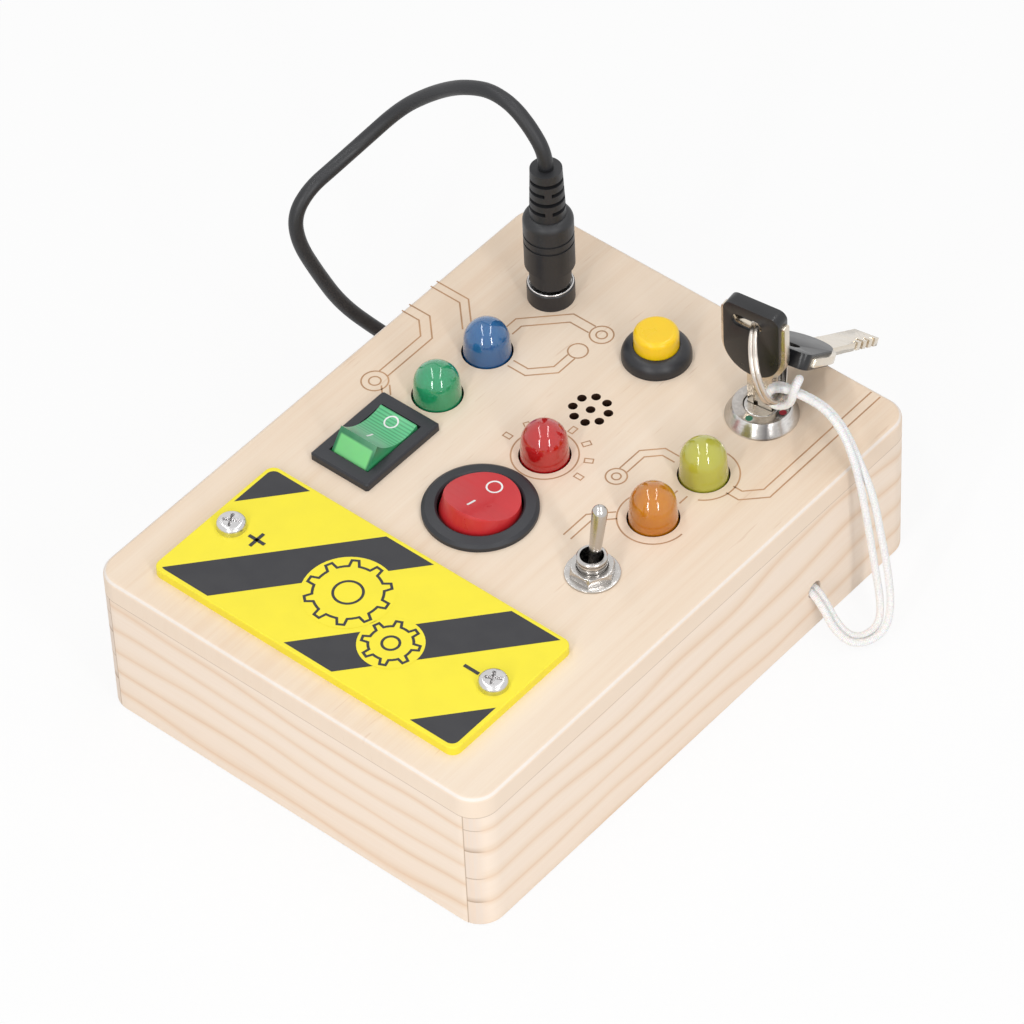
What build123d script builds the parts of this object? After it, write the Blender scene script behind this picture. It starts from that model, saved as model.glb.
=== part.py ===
from build123d import *
from math import cos, radians, sin, sqrt, tan
import os

# Wooden busy board: a hollow wooden box with switches, lamps, a key lock and a plug on its lid.
# Millimetres. Origin at the centre of the underside, +X to the right, +Y to the back, +Z up.

# ---------------------------------------------------------------- driving dimensions
BOARD_W = 96.0  # across, along X
BOARD_L = 130.0  # front to back, along Y
BOARD_H = 35.0  # height, along Z
CORNER_R = 5.4  # upright corners of the box
LID_T = 5.0  # thickness of the lid
LID_ROUND = 1.0  # rounding of the lid's upper edge
WALL_T = 4.0  # thickness of the four walls
BASE_T = 3.0  # thickness of the screwed base
BASE_GAP = 0.2  # base to wall, all round
BLOCK_SIDE = 7.0  # square glue blocks in the corners
RUNNING = 0.08  # radial clearance of a turning or sliding fit
SLIP = 0.3  # clearance of a piece that passes through a cut-out

LID_TOP = BOARD_H
LID_UNDER = BOARD_H - LID_T
WALL_H = LID_UNDER

# Places on the lid, as (x, y)
GREEN_ROCKER_AT = (-27.8, -6.1)
RED_ROCKER_AT = (-0.6, -6.85)
TOGGLE_AT = (26.85, -6.5)
BUTTON_AT = (-0.4, 46.0)
LOCK_AT = (25.65, 46.2)
SOCKET_AT = (-27.5, 46.35)
SOUND_AT = (-1.15, 26.7)
PLATE_AT = (-0.9, -41.0)
LAMPS_AT = {
    "green": (-27.25, 11.6),
    "blue": (-27.35, 26.7),
    "red": (-0.3, 11.9),
    "amber": (26.65, 11.85),
    "lime": (26.9, 26.75),
}

# Signal lamps
LAMP_TOPS = {"green": 7.8, "blue": 7.8, "red": 8.3, "amber": 8.3, "lime": 8.8}  # above the lid
LAMP_D = 9.7  # at the lid
LAMP_DOME_D = 9.2
LAMP_HOLE_GAP = 0.3
LAMP_FLANGE_D = 11.4
LAMP_FLANGE_T = 1.5
LAMP_LEG_D = 0.6
LAMP_LEG_PITCH = 2.54
LAMP_LEG_L = 6.0

# Sound holes and the buzzer under them
SOUND_HOLE_D = 1.9
SOUND_RING_D = 7.2
SOUND_RING_COUNT = 8
BUZZER_D = 14.0
BUZZER_MOUTH_D = 9.6
BUZZER_H = 6.0
BUZZER_LEG_L = 2.0
BUZZER_ROUND = 0.3

# Striped front plate
PLATE_W = 75.2
PLATE_L = 34.3
PLATE_T = 2.0
PLATE_R = 2.0
PLATE_ROUND = 0.25  # rounding of its upper edge
PLATE_SCREW_INSET = 5.0  # screw centre to the plate's end
PLATE_SCREW_HEAD_D = 5.9
PLATE_SCREW_HEAD_H = 1.9
PLATE_SCREW_ROUND = 1.1
PLATE_SCREW_TURN = 30.0  # how far the cross recess is turned
PLATE_SCREW_D = 2.4
PLATE_SCREW_L = 7.0
DRIVER_ARM_L = 3.4  # cross recess, tip to tip
DRIVER_ARM_W = 0.75
DRIVER_DEPTH = 1.0
DRIVER_TAPER = 15.0

# Rocker switches, each on an axle along X; heights of a rocker are measured from its axle
ROCKER_AXLE_DROP = 0.8  # axle below the lid's top
ROCKER_AXLE_R = 0.7
ROCKER_AXLE_END_GAP = 0.1
ROCKER_UNDER = 3.4  # underside, below the axle
GREEN_TILT = 16.0  # each way from level
GREEN_VALLEY = 3.0  # lowest point of the hollow top
GREEN_CREST = 5.0  # its two ends
GREEN_CREST_REACH = 5.9  # axle to each crest, along the rocker
GREEN_BEZEL_W = 14.6
GREEN_BEZEL_L = 21.5
GREEN_BEZEL_T = 1.7
GREEN_BEZEL_CLIP = 0.4
GREEN_BEZEL_EDGE = 0.35  # bevel of its upper edges
GREEN_OPENING_W = 10.0
GREEN_OPENING_L = 15.6
GREEN_BODY_W = 12.6
GREEN_BODY_L = 18.8
RED_TILT = 11.0
RED_VALLEY = 3.3
RED_CREST = 4.8
RED_BEZEL_D = 22.7
RED_BEZEL_T = 1.7
RED_BEZEL_RIM_H = 1.36  # outer and inner edge of the slightly domed top
RED_BEZEL_RIM_W = 0.7
RED_BEZEL_EDGE_H = 0.85
RED_BEZEL_LIP_W = 0.4
RED_OPENING_D = 16.7
RED_BODY_D = 20.0
ROCKER_BODY_DEPTH = 13.0  # below the lid's top
ROCKER_SKIN = 0.8  # wall of a switch housing
ROCKER_SIDE_GAP = 0.4
TAB_W = 4.6
TAB_T = 0.8
TAB_L = 5.0
TAB_PITCH = 6.0

# Toggle switch
TOGGLE_WASHER_D = 10.8
TOGGLE_WASHER_T = 0.5
TOGGLE_NUT_AF = 8.0
TOGGLE_NUT_T = 2.0
NUT_BEVEL = 20.0  # slope of the bevel over a nut's corners
NUT_BEVEL_START = 1.06  # bevel circle at the nut's foot, as a share of the corner circle
TOGGLE_BUSH_D = 6.0
TOGGLE_BUSH_H = 5.0  # above the lid
TOGGLE_BORE_D = 4.7
TOGGLE_BODY_W = 8.0
TOGGLE_BODY_L = 13.0
TOGGLE_BODY_H = 9.0
TOGGLE_TAB_PITCH = 4.7
TOGGLE_TAB_L = 4.0
TOGGLE_LEAN = 11.0
TOGGLE_PIVOT_H = 0.6  # above the lid
TOGGLE_TIP_H = 15.6  # tip above the pivot, along the lever
TOGGLE_LEVER_R = 1.05
TOGGLE_TIP_R = 1.55
TOGGLE_BALL_R = 1.7
THREAD_PITCH = 0.75
THREAD_DEPTH = 0.22
TOGGLE_PIN_D = 0.8
TOGGLE_PIN_L = 5.4

# Push button
BUTTON_BEZEL_D = 14.0
BUTTON_BEZEL_H = 3.3
BUTTON_CAP_D = 9.0
BUTTON_CAP_TOP = 7.1
BUTTON_CAP_ROUND = 1.1
BUTTON_BEZEL_EDGE_H = 0.9  # upright edge of the domed bezel
BUTTON_BEZEL_SHOULDER = (0.8, 2.64)  # a point of the dome: in from the edge, above the lid
BUTTON_TRAVEL = 2.2
BUTTON_NECK_D = 11.0
BUTTON_DEPTH = 17.0
BUTTON_NUT_AF = 13.0
PANEL_NUT_T = 2.5
BUTTON_STEM_D = 4.0
BUTTON_FLANGE_D = 9.8
BUTTON_FLANGE_T = 1.6
BUTTON_FLANGE_DROP = 0.5  # flange top below the lid's top
BUTTON_STOP_GAP = 0.1
BUTTON_FLOOR_T = 3.0
BUTTON_TAB_L = 2.0
BUTTON_SPRING_D = 7.0
SPRING_WIRE_D = 0.6
SPRING_TURNS = 5

# Key lock
LOCK_BEZEL_D = 14.6
LOCK_BEZEL_TOP_D = 11.6
LOCK_BEZEL_H = 3.0
LOCK_BEZEL_EDGE_H = 0.4
LOCK_NECK_D = 11.6
LOCK_DEPTH = 21.0
LOCK_NUT_AF = 14.0
BARREL_D = 7.2
BARREL_GAP = 0.1
BARREL_DEPTH = 18.0
BARREL_DROP = 0.1  # below the bezel's top
BARREL_ROUND = 0.35
KEY_TURN = 7.0  # the key's plane from the X axis
DOT_D = 1.5
DOT_RADIUS = 4.75
DOT_T = 0.3
GREEN_DOT_ANGLE = -83.0
RED_DOT_ANGLE = 7.0

# Key, the same for the one in the lock and the spare: s across, h up from the lid
KEY_METAL_T = 1.7
KEY_COVER_T = 3.2
KEY_HEAD_S = -1.35  # middle of the head, beside the blade's middle
KEY_COVER_HALF = 6.2
KEY_COVER_BOTTOM_H = 11.4
KEY_TOP_H = 28.4
KEY_TOP_R = 1.8
KEY_RIM = 0.9  # metal that shows beyond the cover
KEY_RIM_TOP_H = 26.2
KEY_RIM_TOP_R = 0.4
KEY_NECK_W = 5.6
KEY_BLADE_W = 5.4
KEY_BLADE_END_H = -13.0
KEY_NECK_END_H = 5.2
KEY_GROOVE_W = 1.0
KEY_GROOVE_S = -0.9
KEY_GROOVE_TOP_H = 8.0
KEY_GROOVE_DEPTH = 0.45
KEY_SLOT_W = 6.8
KEY_SLOT_H = 3.1
KEY_SLOT_AT = (-2.3, 24.5)
KEY_SLOT_GAP = 0.1
KEY_TOOTH_W = 1.3
KEY_TOOTH_PITCH = 3.0
KEY_TOOTH_FIRST_H = 2.4  # above the blade's end
KEY_TOOTH_DEPTHS = (0.8, 1.15, 1.5, 0.8)

# Key ring: two turns side by side
RING_R = 8.3
RING_WIRE = 0.9
RING_IN_SLOT = (1.4, 0.0)  # where the wire sits in the key's slot, from the slot's middle
RING_DOWN = (0.37, -0.08, -0.925)  # from the slot to the ring's lowest point
RING_OUT = (0.4, -0.86, 0.2)  # towards the ring's nearest point
RING_TURN_H = 0.936  # each turn, along the ring's axis, with the next one touching
RING_WIRE_ROUND = 0.31
KNOT_R = 1.9
KNOT_SPAN = 26.0  # degrees of the ring inside the knot
KNOT_RING_GAP = 0.1
KNOT_TAIL_L = 3.0
KNOT_TAIL_R = 1.75
KNOT_ROUND = 0.75

# Spare key: hangs on the ring behind the first, and leans over the back edge
SPARE_SLOPE = 36.0
SPARE_TURN = 10.0
SPARE_ON_RING = -74.0  # degrees round the ring from its lowest point
SPARE_SHIFT = (-0.2, 0.0)  # where the wire sits in the spare's slot, from the slot's middle

# Lanyard: two strands from the ring to a hole in the right wall
LANYARD_D = 1.5
LANYARD_HOLE_AT = (34.2, 10.4)  # (y, z) on the right wall
LANYARD_HOLE_D = 3.8
STOP_KNOT_R = 2.6
STOP_KNOT_L = 4.5
STOP_KNOT_GAP = 0.1
STOP_KNOT_ROUND = 1.0
LANYARD_BACK = [
    (32.86, 47.27, 45.13),
    (38.46, 48.27, 44.93),
    (44.86, 47.07, 43.13),
    (49.5, 45.65, 38.6),
    (53.4, 45.4, 31.2),
    (55.8, 44.8, 22.6),
    (58.0, 44.3, 14.2),
    (59.8, 43.2, 7.0),
    (60.7, 40.8, 2.4),
    (59.8, 36.8, 1.2),
    (57.2, 33.6, 1.6),
    (53.6, 32.9, 4.2),
    (51.4, 33.0, 7.6),
    (48.6, 33.3, 10.0),
    (45.8, 33.4, 10.5),
    (43.9, 33.4, 10.5),
]
LANYARD_FRONT = [
    (33.14, 45.93, 46.07),
    (38.74, 46.93, 45.87),
    (45.14, 45.73, 44.07),
    (49.7, 44.15, 39.4),
    (52.2, 43.8, 31.0),
    (54.2, 43.4, 22.2),
    (56.0, 43.0, 13.8),
    (58.0, 42.2, 6.8),
    (58.9, 40.6, 2.4),
    (58.0, 37.3, 1.2),
    (56.2, 35.0, 1.8),
    (53.2, 34.5, 4.2),
    (51.0, 34.6, 7.4),
    (48.4, 34.9, 9.8),
    (45.7, 35.0, 10.4),
    (43.9, 35.0, 10.4),
]

# Charging socket, plug and cable
SOCKET_COLLAR_D = 9.6
SOCKET_COLLAR_H = 4.0
SOCKET_COLLAR_EDGE = 0.3
SOCKET_SLEEVE_D = 8.6
SOCKET_SLEEVE_H = 4.0
SOCKET_BORE_D = 5.9
SOCKET_THREAD_D = 7.8
SOCKET_DEPTH = 13.0
SOCKET_PIN_D = 1.9
SOCKET_LIP_T = 0.8
SOCKET_BASE_T = 2.0
SOCKET_NUT_AF = 10.0
PLUG_GAP = 0.15
PLUG_SHOULDER_R = 1.8
PLUG_NOSE_D = 8.4
PLUG_NOSE_ROUND = 1.1  # its lower edge
PLUG_NOSE_TOP = 9.2
PLUG_BODY_D = 10.1
PLUG_BODY_TOP = 22.5
PLUG_GROOVES_AT = (15.4, 17.3)
PLUG_GROOVE_W = 0.5
PLUG_GROOVE_DEPTH = 0.2
PLUG_BARREL_D = 5.5
PLUG_BARREL_BORE_D = 2.3
PLUG_BARREL_L = 9.5
RELIEF_TOP = 34.3
RELIEF_BOTTOM_D = 7.3
RELIEF_TOP_D = 6.4
RELIEF_SLOT_ROWS = 4
RELIEF_SLOT_T = 0.9
RELIEF_SLOT_CORE = 3.6
RELIEF_WEB_W = 1.4
CABLE_D = 3.0
GROMMET_AT = (33.4, 13.5)  # (y, z) on the left wall
GROMMET_HOLE_D = 6.0
GROMMET_FLANGE_D = 8.4
GROMMET_FLANGE_T = 1.2
GROMMET_BORE_D = 3.5
GROMMET_ROUND = 0.4
CABLE = [
    (-31.0, 33.5, 13.3),
    (-41.5, 33.5, 13.3),
    (-53.0, 33.3, 13.8),
    (-60.0, 30.2, 18.2),
    (-64.9, 25.4, 26.2),
    (-67.8, 22.2, 35.8),
    (-70.0, 19.9, 44.2),
    (-71.2, 20.6, 50.4),
    (-70.6, 24.8, 54.8),
    (-69.8, 31.4, 56.2),
    (-68.1, 38.6, 59.0),
    (-63.5, 44.8, 65.8),
    (-57.0, 46.3, 72.0),
    (-50.4, 46.35, 77.4),
    (-45.2, 46.35, 80.3),
    (-40.6, 46.35, 81.9),
    (-35.4, 46.35, 81.2),
    (-31.0, 46.35, 77.8),
    (-27.5, 46.35, 73.0),
    (-27.5, 46.35, 69.3),
]

# Battery compartment, opened from below
CELL_D = 14.2
CELL_L = 48.5
CELL_NUB_D = 5.0
CELL_NUB_L = 1.2
CELL_ROUND = 0.5
CELL_GAP = 0.4
CELL_COUNT = 2
CONTACT_SIDE = 9.9
CONTACT_T = 0.5
CONTACT_SPACE = 2.2
CONTACT_TAPER = 20.0
TRAY_WALL = 1.4
TRAY_AT = (-1.0, -35.0)
TRAY_LIP = 2.6
COVER_T = 2.2
COVER_GAP = 0.3
COVER_RIB_COUNT = 5
COVER_RIB_L = 17.8
COVER_RIB_DEPTH = 0.7
COVER_LUG_L = 9.0
COVER_SCREW_D = 2.2
COVER_SCREW_HEAD_D = 4.4
COVER_SCREW_HEAD_H = 1.4
COVER_SCREW_L = 7.0
BOSS_WALL = 1.4

# Base screws
BASE_SCREW_D = 2.6
BASE_SCREW_HEAD_D = 5.2
BASE_SCREW_L = 11.0

# Circuit board on spacers
PCB_AT = (0.0, 18.5)
PCB_W = 64.0
PCB_L = 62.0
PCB_T = 1.6
PCB_STANDOFF_H = 5.0
PCB_STANDOFF_D = 5.0
PCB_SCREW_PITCH = (28.0, 54.0)
PCB_SCREW_D = 2.0
PCB_SCREW_HEAD_D = 3.8
PCB_SCREW_HEAD_H = 1.4
CHIP_W = 10.0
CHIP_L = 14.0
CHIP_T = 1.8
WIRE_D = 1.0
CHIP_AT = (13.0, 3.5)
CABLE_BLOCK_W = 6.4
CABLE_BLOCK_L = 7.0
CABLE_BLOCK_H = 6.5

os.makedirs("parts", exist_ok=True)


def keep(builder, name):
    """Label a finished sub-part and write its STEP file."""
    builder.part.label = name
    export_step(builder.part, f"parts/{name}.step")


def arc_radii(points):
    """Largest tangent arc at each inner point of a route: 0.45 of the shorter run."""
    radii = []
    for before, here, after in zip(points, points[1:], points[2:]):
        run_in = Vector(*here) - Vector(*before)
        run_out = Vector(*after) - Vector(*here)
        half_turn = radians(run_in.get_angle(run_out) / 2)
        radii.append(0.45 * min(run_in.length, run_out.length) / tan(half_turn))
    return radii


def tube(name, points, diameter):
    """A cord's plain solid, of straight runs and tangent arcs."""
    radii = arc_radii(points)
    with BuildPart() as cord:
        with BuildLine() as route:
            FilletPolyline(*points, radius=radii)
        with BuildSketch(Plane(origin=route.line @ 0, z_dir=route.line % 0)) as section:
            Circle(diameter / 2)
        sweep(path=route.line)
    length = route.wire().length
    ideal = section.sketch.area * length
    print(f"{name}: length {length:.1f}, volume ratio {cord.part.volume / ideal:.4f},",
          "radii", " ".join(f"{radius:.1f}" for radius in radii))
    return cord


# ---------------------------------------------------------------- the box
PLATE_SCREW_PITCH = PLATE_W - 2 * PLATE_SCREW_INSET

with BuildPart() as lid:
    with BuildSketch(Plane.XY.offset(LID_UNDER)):
        RectangleRounded(BOARD_W, BOARD_L, CORNER_R)
    extrude(amount=LID_T)
    fillet(lid.edges().group_by(Axis.Z)[-1], LID_ROUND)
    with BuildSketch(Plane.XY.offset(LID_TOP)):
        with Locations(*LAMPS_AT.values()):
            Circle(LAMP_D / 2 + LAMP_HOLE_GAP)
        with Locations(SOUND_AT):
            Circle(SOUND_HOLE_D / 2)
            with PolarLocations(SOUND_RING_D / 2, SOUND_RING_COUNT, start_angle=22.5):
                Circle(SOUND_HOLE_D / 2)
        with Locations(GREEN_ROCKER_AT):
            Rectangle(GREEN_BODY_W + SLIP, GREEN_BODY_L + SLIP)
        with Locations(RED_ROCKER_AT):
            Circle((RED_BODY_D + SLIP) / 2)
        with Locations(TOGGLE_AT):
            Circle((TOGGLE_BUSH_D + SLIP) / 2)
        with Locations(BUTTON_AT):
            Circle((BUTTON_NECK_D + SLIP) / 2)
        with Locations(LOCK_AT):
            Circle((LOCK_NECK_D + SLIP) / 2)
        with Locations(SOCKET_AT):
            Circle((SOCKET_THREAD_D + SLIP) / 2)
        with Locations(PLATE_AT):
            with GridLocations(PLATE_SCREW_PITCH, 0, 2, 1):
                Circle(PLATE_SCREW_D / 2)
    extrude(amount=-LID_T, mode=Mode.SUBTRACT)
keep(lid, "top_panel")

for side, name in ((-1, "left_wall"), (1, "right_wall")):
    with BuildPart() as wall:
        with BuildSketch():
            RectangleRounded(BOARD_W, BOARD_L, CORNER_R)
            with Locations((side * (BOARD_W - WALL_T) / 2, 0)):
                Rectangle(WALL_T, BOARD_L, mode=Mode.INTERSECT)
        extrude(amount=WALL_H)
        hole_at = GROMMET_AT if side < 0 else LANYARD_HOLE_AT
        hole_d = GROMMET_HOLE_D if side < 0 else LANYARD_HOLE_D
        with BuildSketch(Plane.YZ.offset(side * BOARD_W / 2)):
            with Locations(hole_at):
                Circle(hole_d / 2)
        extrude(amount=-side * WALL_T, mode=Mode.SUBTRACT)
    keep(wall, name)

for side, name in ((-1, "front_wall"), (1, "back_wall")):
    with BuildPart() as wall:
        with BuildSketch():
            RectangleRounded(BOARD_W, BOARD_L, CORNER_R)
            with Locations((0, side * (BOARD_L - WALL_T) / 2)):
                Rectangle(BOARD_W - 2 * WALL_T, WALL_T, mode=Mode.INTERSECT)
        extrude(amount=WALL_H)
    keep(wall, name)

ROOM_W = BOARD_W - 2 * WALL_T
ROOM_L = BOARD_L - 2 * WALL_T
BLOCK_PITCH_X = ROOM_W - BLOCK_SIDE
BLOCK_PITCH_Y = ROOM_L - BLOCK_SIDE

with BuildPart() as corner_blocks:
    with BuildSketch(Plane.XY.offset(BASE_T)):
        with GridLocations(BLOCK_PITCH_X, BLOCK_PITCH_Y, 2, 2):
            Rectangle(BLOCK_SIDE, BLOCK_SIDE)
            Circle(BASE_SCREW_D / 2, mode=Mode.SUBTRACT)
    extrude(amount=WALL_H - BASE_T)
keep(corner_blocks, "corner_blocks")

# ---------------------------------------------------------------- battery compartment
CELL_PITCH = CELL_D + CELL_GAP
TRAY_ROOM_X = CELL_L + CELL_NUB_L + 2 * CONTACT_SPACE
TRAY_ROOM_Y = CELL_COUNT * CELL_PITCH + CELL_GAP
TRAY_ROOM_Z = CELL_D + 2 * CELL_GAP
TRAY_W = TRAY_ROOM_X + 2 * TRAY_WALL
TRAY_L = TRAY_ROOM_Y + 2 * TRAY_WALL
HATCH_W = TRAY_W + COVER_LUG_L
HATCH_L = TRAY_L
HATCH_AT = (TRAY_AT[0] + COVER_LUG_L / 2, TRAY_AT[1])
BOSS_R = COVER_SCREW_D / 2 + BOSS_WALL
BOSS_AT = (TRAY_AT[0] + TRAY_W / 2 + COVER_LUG_L / 2, TRAY_AT[1])
BOSS_H = COVER_SCREW_L + BOSS_WALL

with BuildPart() as base:
    with BuildSketch():
        Rectangle(ROOM_W - 2 * BASE_GAP, ROOM_L - 2 * BASE_GAP)
        with Locations(HATCH_AT):
            Rectangle(HATCH_W, HATCH_L, mode=Mode.SUBTRACT)
    extrude(amount=BASE_T)
    with Locations(Plane.XY.rotated((180, 0, 0))):
        with GridLocations(BLOCK_PITCH_X, BLOCK_PITCH_Y, 2, 2):
            CounterSinkHole(BASE_SCREW_D / 2, BASE_SCREW_HEAD_D / 2, depth=BASE_T)
keep(base, "bottom_panel")

with BuildPart() as tray:
    with BuildSketch(Plane.XY.offset(BASE_T)):
        with Locations(HATCH_AT):
            Rectangle(HATCH_W + 2 * TRAY_LIP, HATCH_L + 2 * TRAY_LIP)
    extrude(amount=TRAY_WALL)
    with BuildSketch(Plane.XY.offset(BASE_T)):
        with Locations(TRAY_AT):
            Rectangle(TRAY_W, TRAY_L)
    extrude(amount=TRAY_ROOM_Z + TRAY_WALL)
    with BuildSketch(Plane.XY.offset(BASE_T)):
        with Locations(BOSS_AT):
            Circle(BOSS_R)
    extrude(amount=BOSS_H)
    with BuildSketch(Plane.XY.offset(BASE_T)):
        with Locations(TRAY_AT):
            Rectangle(TRAY_ROOM_X, TRAY_ROOM_Y)
    extrude(amount=TRAY_ROOM_Z, mode=Mode.SUBTRACT)
    with BuildSketch(Plane.XY.offset(BASE_T)):
        with Locations(BOSS_AT):
            Circle(COVER_SCREW_D / 2)
    extrude(amount=COVER_SCREW_L, mode=Mode.SUBTRACT)
keep(tray, "battery_tray")

with BuildPart() as hatch:
    with BuildSketch(Plane.XY.offset(BASE_T - COVER_T)):
        with Locations(HATCH_AT):
            Rectangle(HATCH_W - 2 * COVER_GAP, HATCH_L - 2 * COVER_GAP)
        with Locations(BOSS_AT):
            Circle(COVER_SCREW_D / 2, mode=Mode.SUBTRACT)
    extrude(amount=COVER_T)
    with BuildSketch(Plane.XY.offset(BASE_T - COVER_T)):
        with Locations(BOSS_AT):
            Circle(COVER_SCREW_HEAD_D / 2)
    extrude(amount=COVER_SCREW_HEAD_H, mode=Mode.SUBTRACT)
    with BuildSketch(Plane.XY.offset(BASE_T - COVER_T)):
        with Locations(TRAY_AT):
            with GridLocations(0, 2 * TRAY_WALL, 1, COVER_RIB_COUNT):
                Rectangle(COVER_RIB_L, TRAY_WALL)
    extrude(amount=COVER_RIB_DEPTH, mode=Mode.SUBTRACT)
keep(hatch, "battery_cover")

CELL_Z = BASE_T + CELL_GAP + CELL_D / 2
for row in range(CELL_COUNT):
    cell_y = TRAY_AT[1] + (row - (CELL_COUNT - 1) / 2) * CELL_PITCH
    nub_side = 1 if row % 2 else -1
    cell_end = TRAY_AT[0] - nub_side * (CELL_L + CELL_NUB_L) / 2
    with BuildPart() as cell:
        with BuildSketch(Plane.YZ.offset(cell_end)):
            with Locations((cell_y, CELL_Z)):
                Circle(CELL_D / 2)
        extrude(amount=nub_side * CELL_L)
        fillet(cell.edges().filter_by(GeomType.CIRCLE), CELL_ROUND)
        with BuildSketch(Plane.YZ.offset(cell_end + nub_side * CELL_L)):
            with Locations((cell_y, CELL_Z)):
                Circle(CELL_NUB_D / 2)
        extrude(amount=nub_side * CELL_NUB_L)
    keep(cell, f"battery_{row + 1}")

with BuildPart() as contacts:
    for end in (-1, 1):
        with BuildSketch(Plane.YZ.offset(TRAY_AT[0] + end * TRAY_ROOM_X / 2)):
            with Locations((TRAY_AT[1], CELL_Z)):
                with GridLocations(CELL_PITCH, 0, CELL_COUNT, 1):
                    RectangleRounded(CONTACT_SIDE, CONTACT_SIDE, CONTACT_SPACE)
        extrude(amount=-end * CONTACT_T)
        with BuildSketch(Plane.YZ.offset(TRAY_AT[0] + end * (TRAY_ROOM_X / 2 - CONTACT_T))):
            with Locations((TRAY_AT[1], CELL_Z)):
                with GridLocations(CELL_PITCH, 0, CELL_COUNT, 1):
                    Circle(CELL_NUB_D / 2)
        extrude(amount=-end * (CONTACT_SPACE - CONTACT_T), taper=CONTACT_TAPER)
keep(contacts, "battery_contacts")

# ---------------------------------------------------------------- lamps, sound and front plate
for colour, (lamp_x, lamp_y) in LAMPS_AT.items():
    dome_r = LAMP_DOME_D / 2
    dome_top = LID_TOP + LAMP_TOPS[colour]
    with BuildPart() as lamp:
        with BuildSketch(Plane.XZ.offset(-lamp_y)):
            with BuildLine():
                Polyline(
                    (lamp_x, dome_top),
                    (lamp_x, LID_UNDER - LAMP_FLANGE_T),
                    (lamp_x + LAMP_FLANGE_D / 2, LID_UNDER - LAMP_FLANGE_T),
                    (lamp_x + LAMP_FLANGE_D / 2, LID_UNDER),
                    (lamp_x + LAMP_D / 2, LID_UNDER),
                    (lamp_x + LAMP_D / 2, LID_TOP),
                    (lamp_x + dome_r, dome_top - dome_r),
                )
                RadiusArc((lamp_x + dome_r, dome_top - dome_r), (lamp_x, dome_top), -dome_r)
            make_face()
        revolve(axis=Axis((lamp_x, lamp_y, 0), (0, 0, 1)))
    keep(lamp, f"lamp_{colour}")

with BuildPart() as buzzer:
    with BuildSketch(Plane.XY.offset(LID_UNDER)):
        with Locations(SOUND_AT):
            Circle(BUZZER_D / 2)
    extrude(amount=-BUZZER_H)
    with BuildSketch(Plane.XY.offset(LID_UNDER)):
        with Locations(SOUND_AT):
            Circle(BUZZER_MOUTH_D / 2)
    extrude(amount=-BUZZER_H / 2, mode=Mode.SUBTRACT)
    fillet(buzzer.edges().group_by(Axis.Z)[0], BUZZER_ROUND)
keep(buzzer, "buzzer")

with BuildPart() as plate:
    with BuildSketch(Plane.XY.offset(LID_TOP)):
        with Locations(PLATE_AT):
            RectangleRounded(PLATE_W, PLATE_L, PLATE_R)
            with GridLocations(PLATE_SCREW_PITCH, 0, 2, 1):
                Circle(PLATE_SCREW_D / 2, mode=Mode.SUBTRACT)
    extrude(amount=PLATE_T)
    fillet(plate.faces().sort_by(Axis.Z)[-1].outer_wire().edges(), PLATE_ROUND)
keep(plate, "hazard_plate")

PLATE_SCREW_Z = LID_TOP + PLATE_T
with BuildPart() as plate_screws:
    with BuildSketch(Plane.XY.offset(PLATE_SCREW_Z)):
        with Locations(PLATE_AT):
            with GridLocations(PLATE_SCREW_PITCH, 0, 2, 1):
                Circle(PLATE_SCREW_HEAD_D / 2)
    extrude(amount=PLATE_SCREW_HEAD_H)
    fillet(plate_screws.edges().group_by(Axis.Z)[-1], PLATE_SCREW_ROUND)
    with BuildSketch(Plane.XY.offset(PLATE_SCREW_Z)):
        with Locations(PLATE_AT):
            with GridLocations(PLATE_SCREW_PITCH, 0, 2, 1):
                Circle(PLATE_SCREW_D / 2)
    extrude(amount=-PLATE_SCREW_L)
    with BuildSketch(Plane.XY.offset(PLATE_SCREW_Z + PLATE_SCREW_HEAD_H)):
        with Locations(PLATE_AT):
            with GridLocations(PLATE_SCREW_PITCH, 0, 2, 1):
                Rectangle(DRIVER_ARM_L, DRIVER_ARM_W, rotation=PLATE_SCREW_TURN)
                Rectangle(DRIVER_ARM_W, DRIVER_ARM_L, rotation=PLATE_SCREW_TURN)
    extrude(amount=-DRIVER_DEPTH, taper=DRIVER_TAPER, mode=Mode.SUBTRACT)
keep(plate_screws, "plate_screws")

# ---------------------------------------------------------------- rocker switches
AXLE_Z = LID_TOP - ROCKER_AXLE_DROP
BODY_BOTTOM = LID_TOP - ROCKER_BODY_DEPTH


def rocker_along(tilt):
    """A rocker's length at rest, with its back half pressed."""
    return Vector(0, cos(radians(tilt)), -sin(radians(tilt)))


def rocker_side(at, x_offset, tilt):
    """Plane across a rocker's axle at rest: local x along the rocker, local y up."""
    return Plane(origin=(at[0] + x_offset, at[1], AXLE_Z), x_dir=rocker_along(tilt), z_dir=(1, 0, 0))


def rocker_reach(half_opening, height, tilt):
    """How long a rocker may be at a height so that it clears the opening when it swings."""
    return (half_opening - SLIP - abs(height) * sin(radians(tilt))) / cos(radians(tilt))


def axle_holes(at, length):
    """Bearings for the axle stubs, in a housing's side walls."""
    with BuildSketch(Plane.YZ.offset(at[0] - length / 2)) as bearing:
        with Locations((at[1], AXLE_Z)):
            Circle(ROCKER_AXLE_R + RUNNING)
    extrude(bearing.sketch, amount=length, mode=Mode.SUBTRACT)


def axle(at, length, tilt):
    """A rocker's own axle stubs."""
    with BuildSketch(rocker_side(at, -length / 2, tilt)) as stub:
        Circle(ROCKER_AXLE_R)
    extrude(stub.sketch, amount=length)


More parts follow.
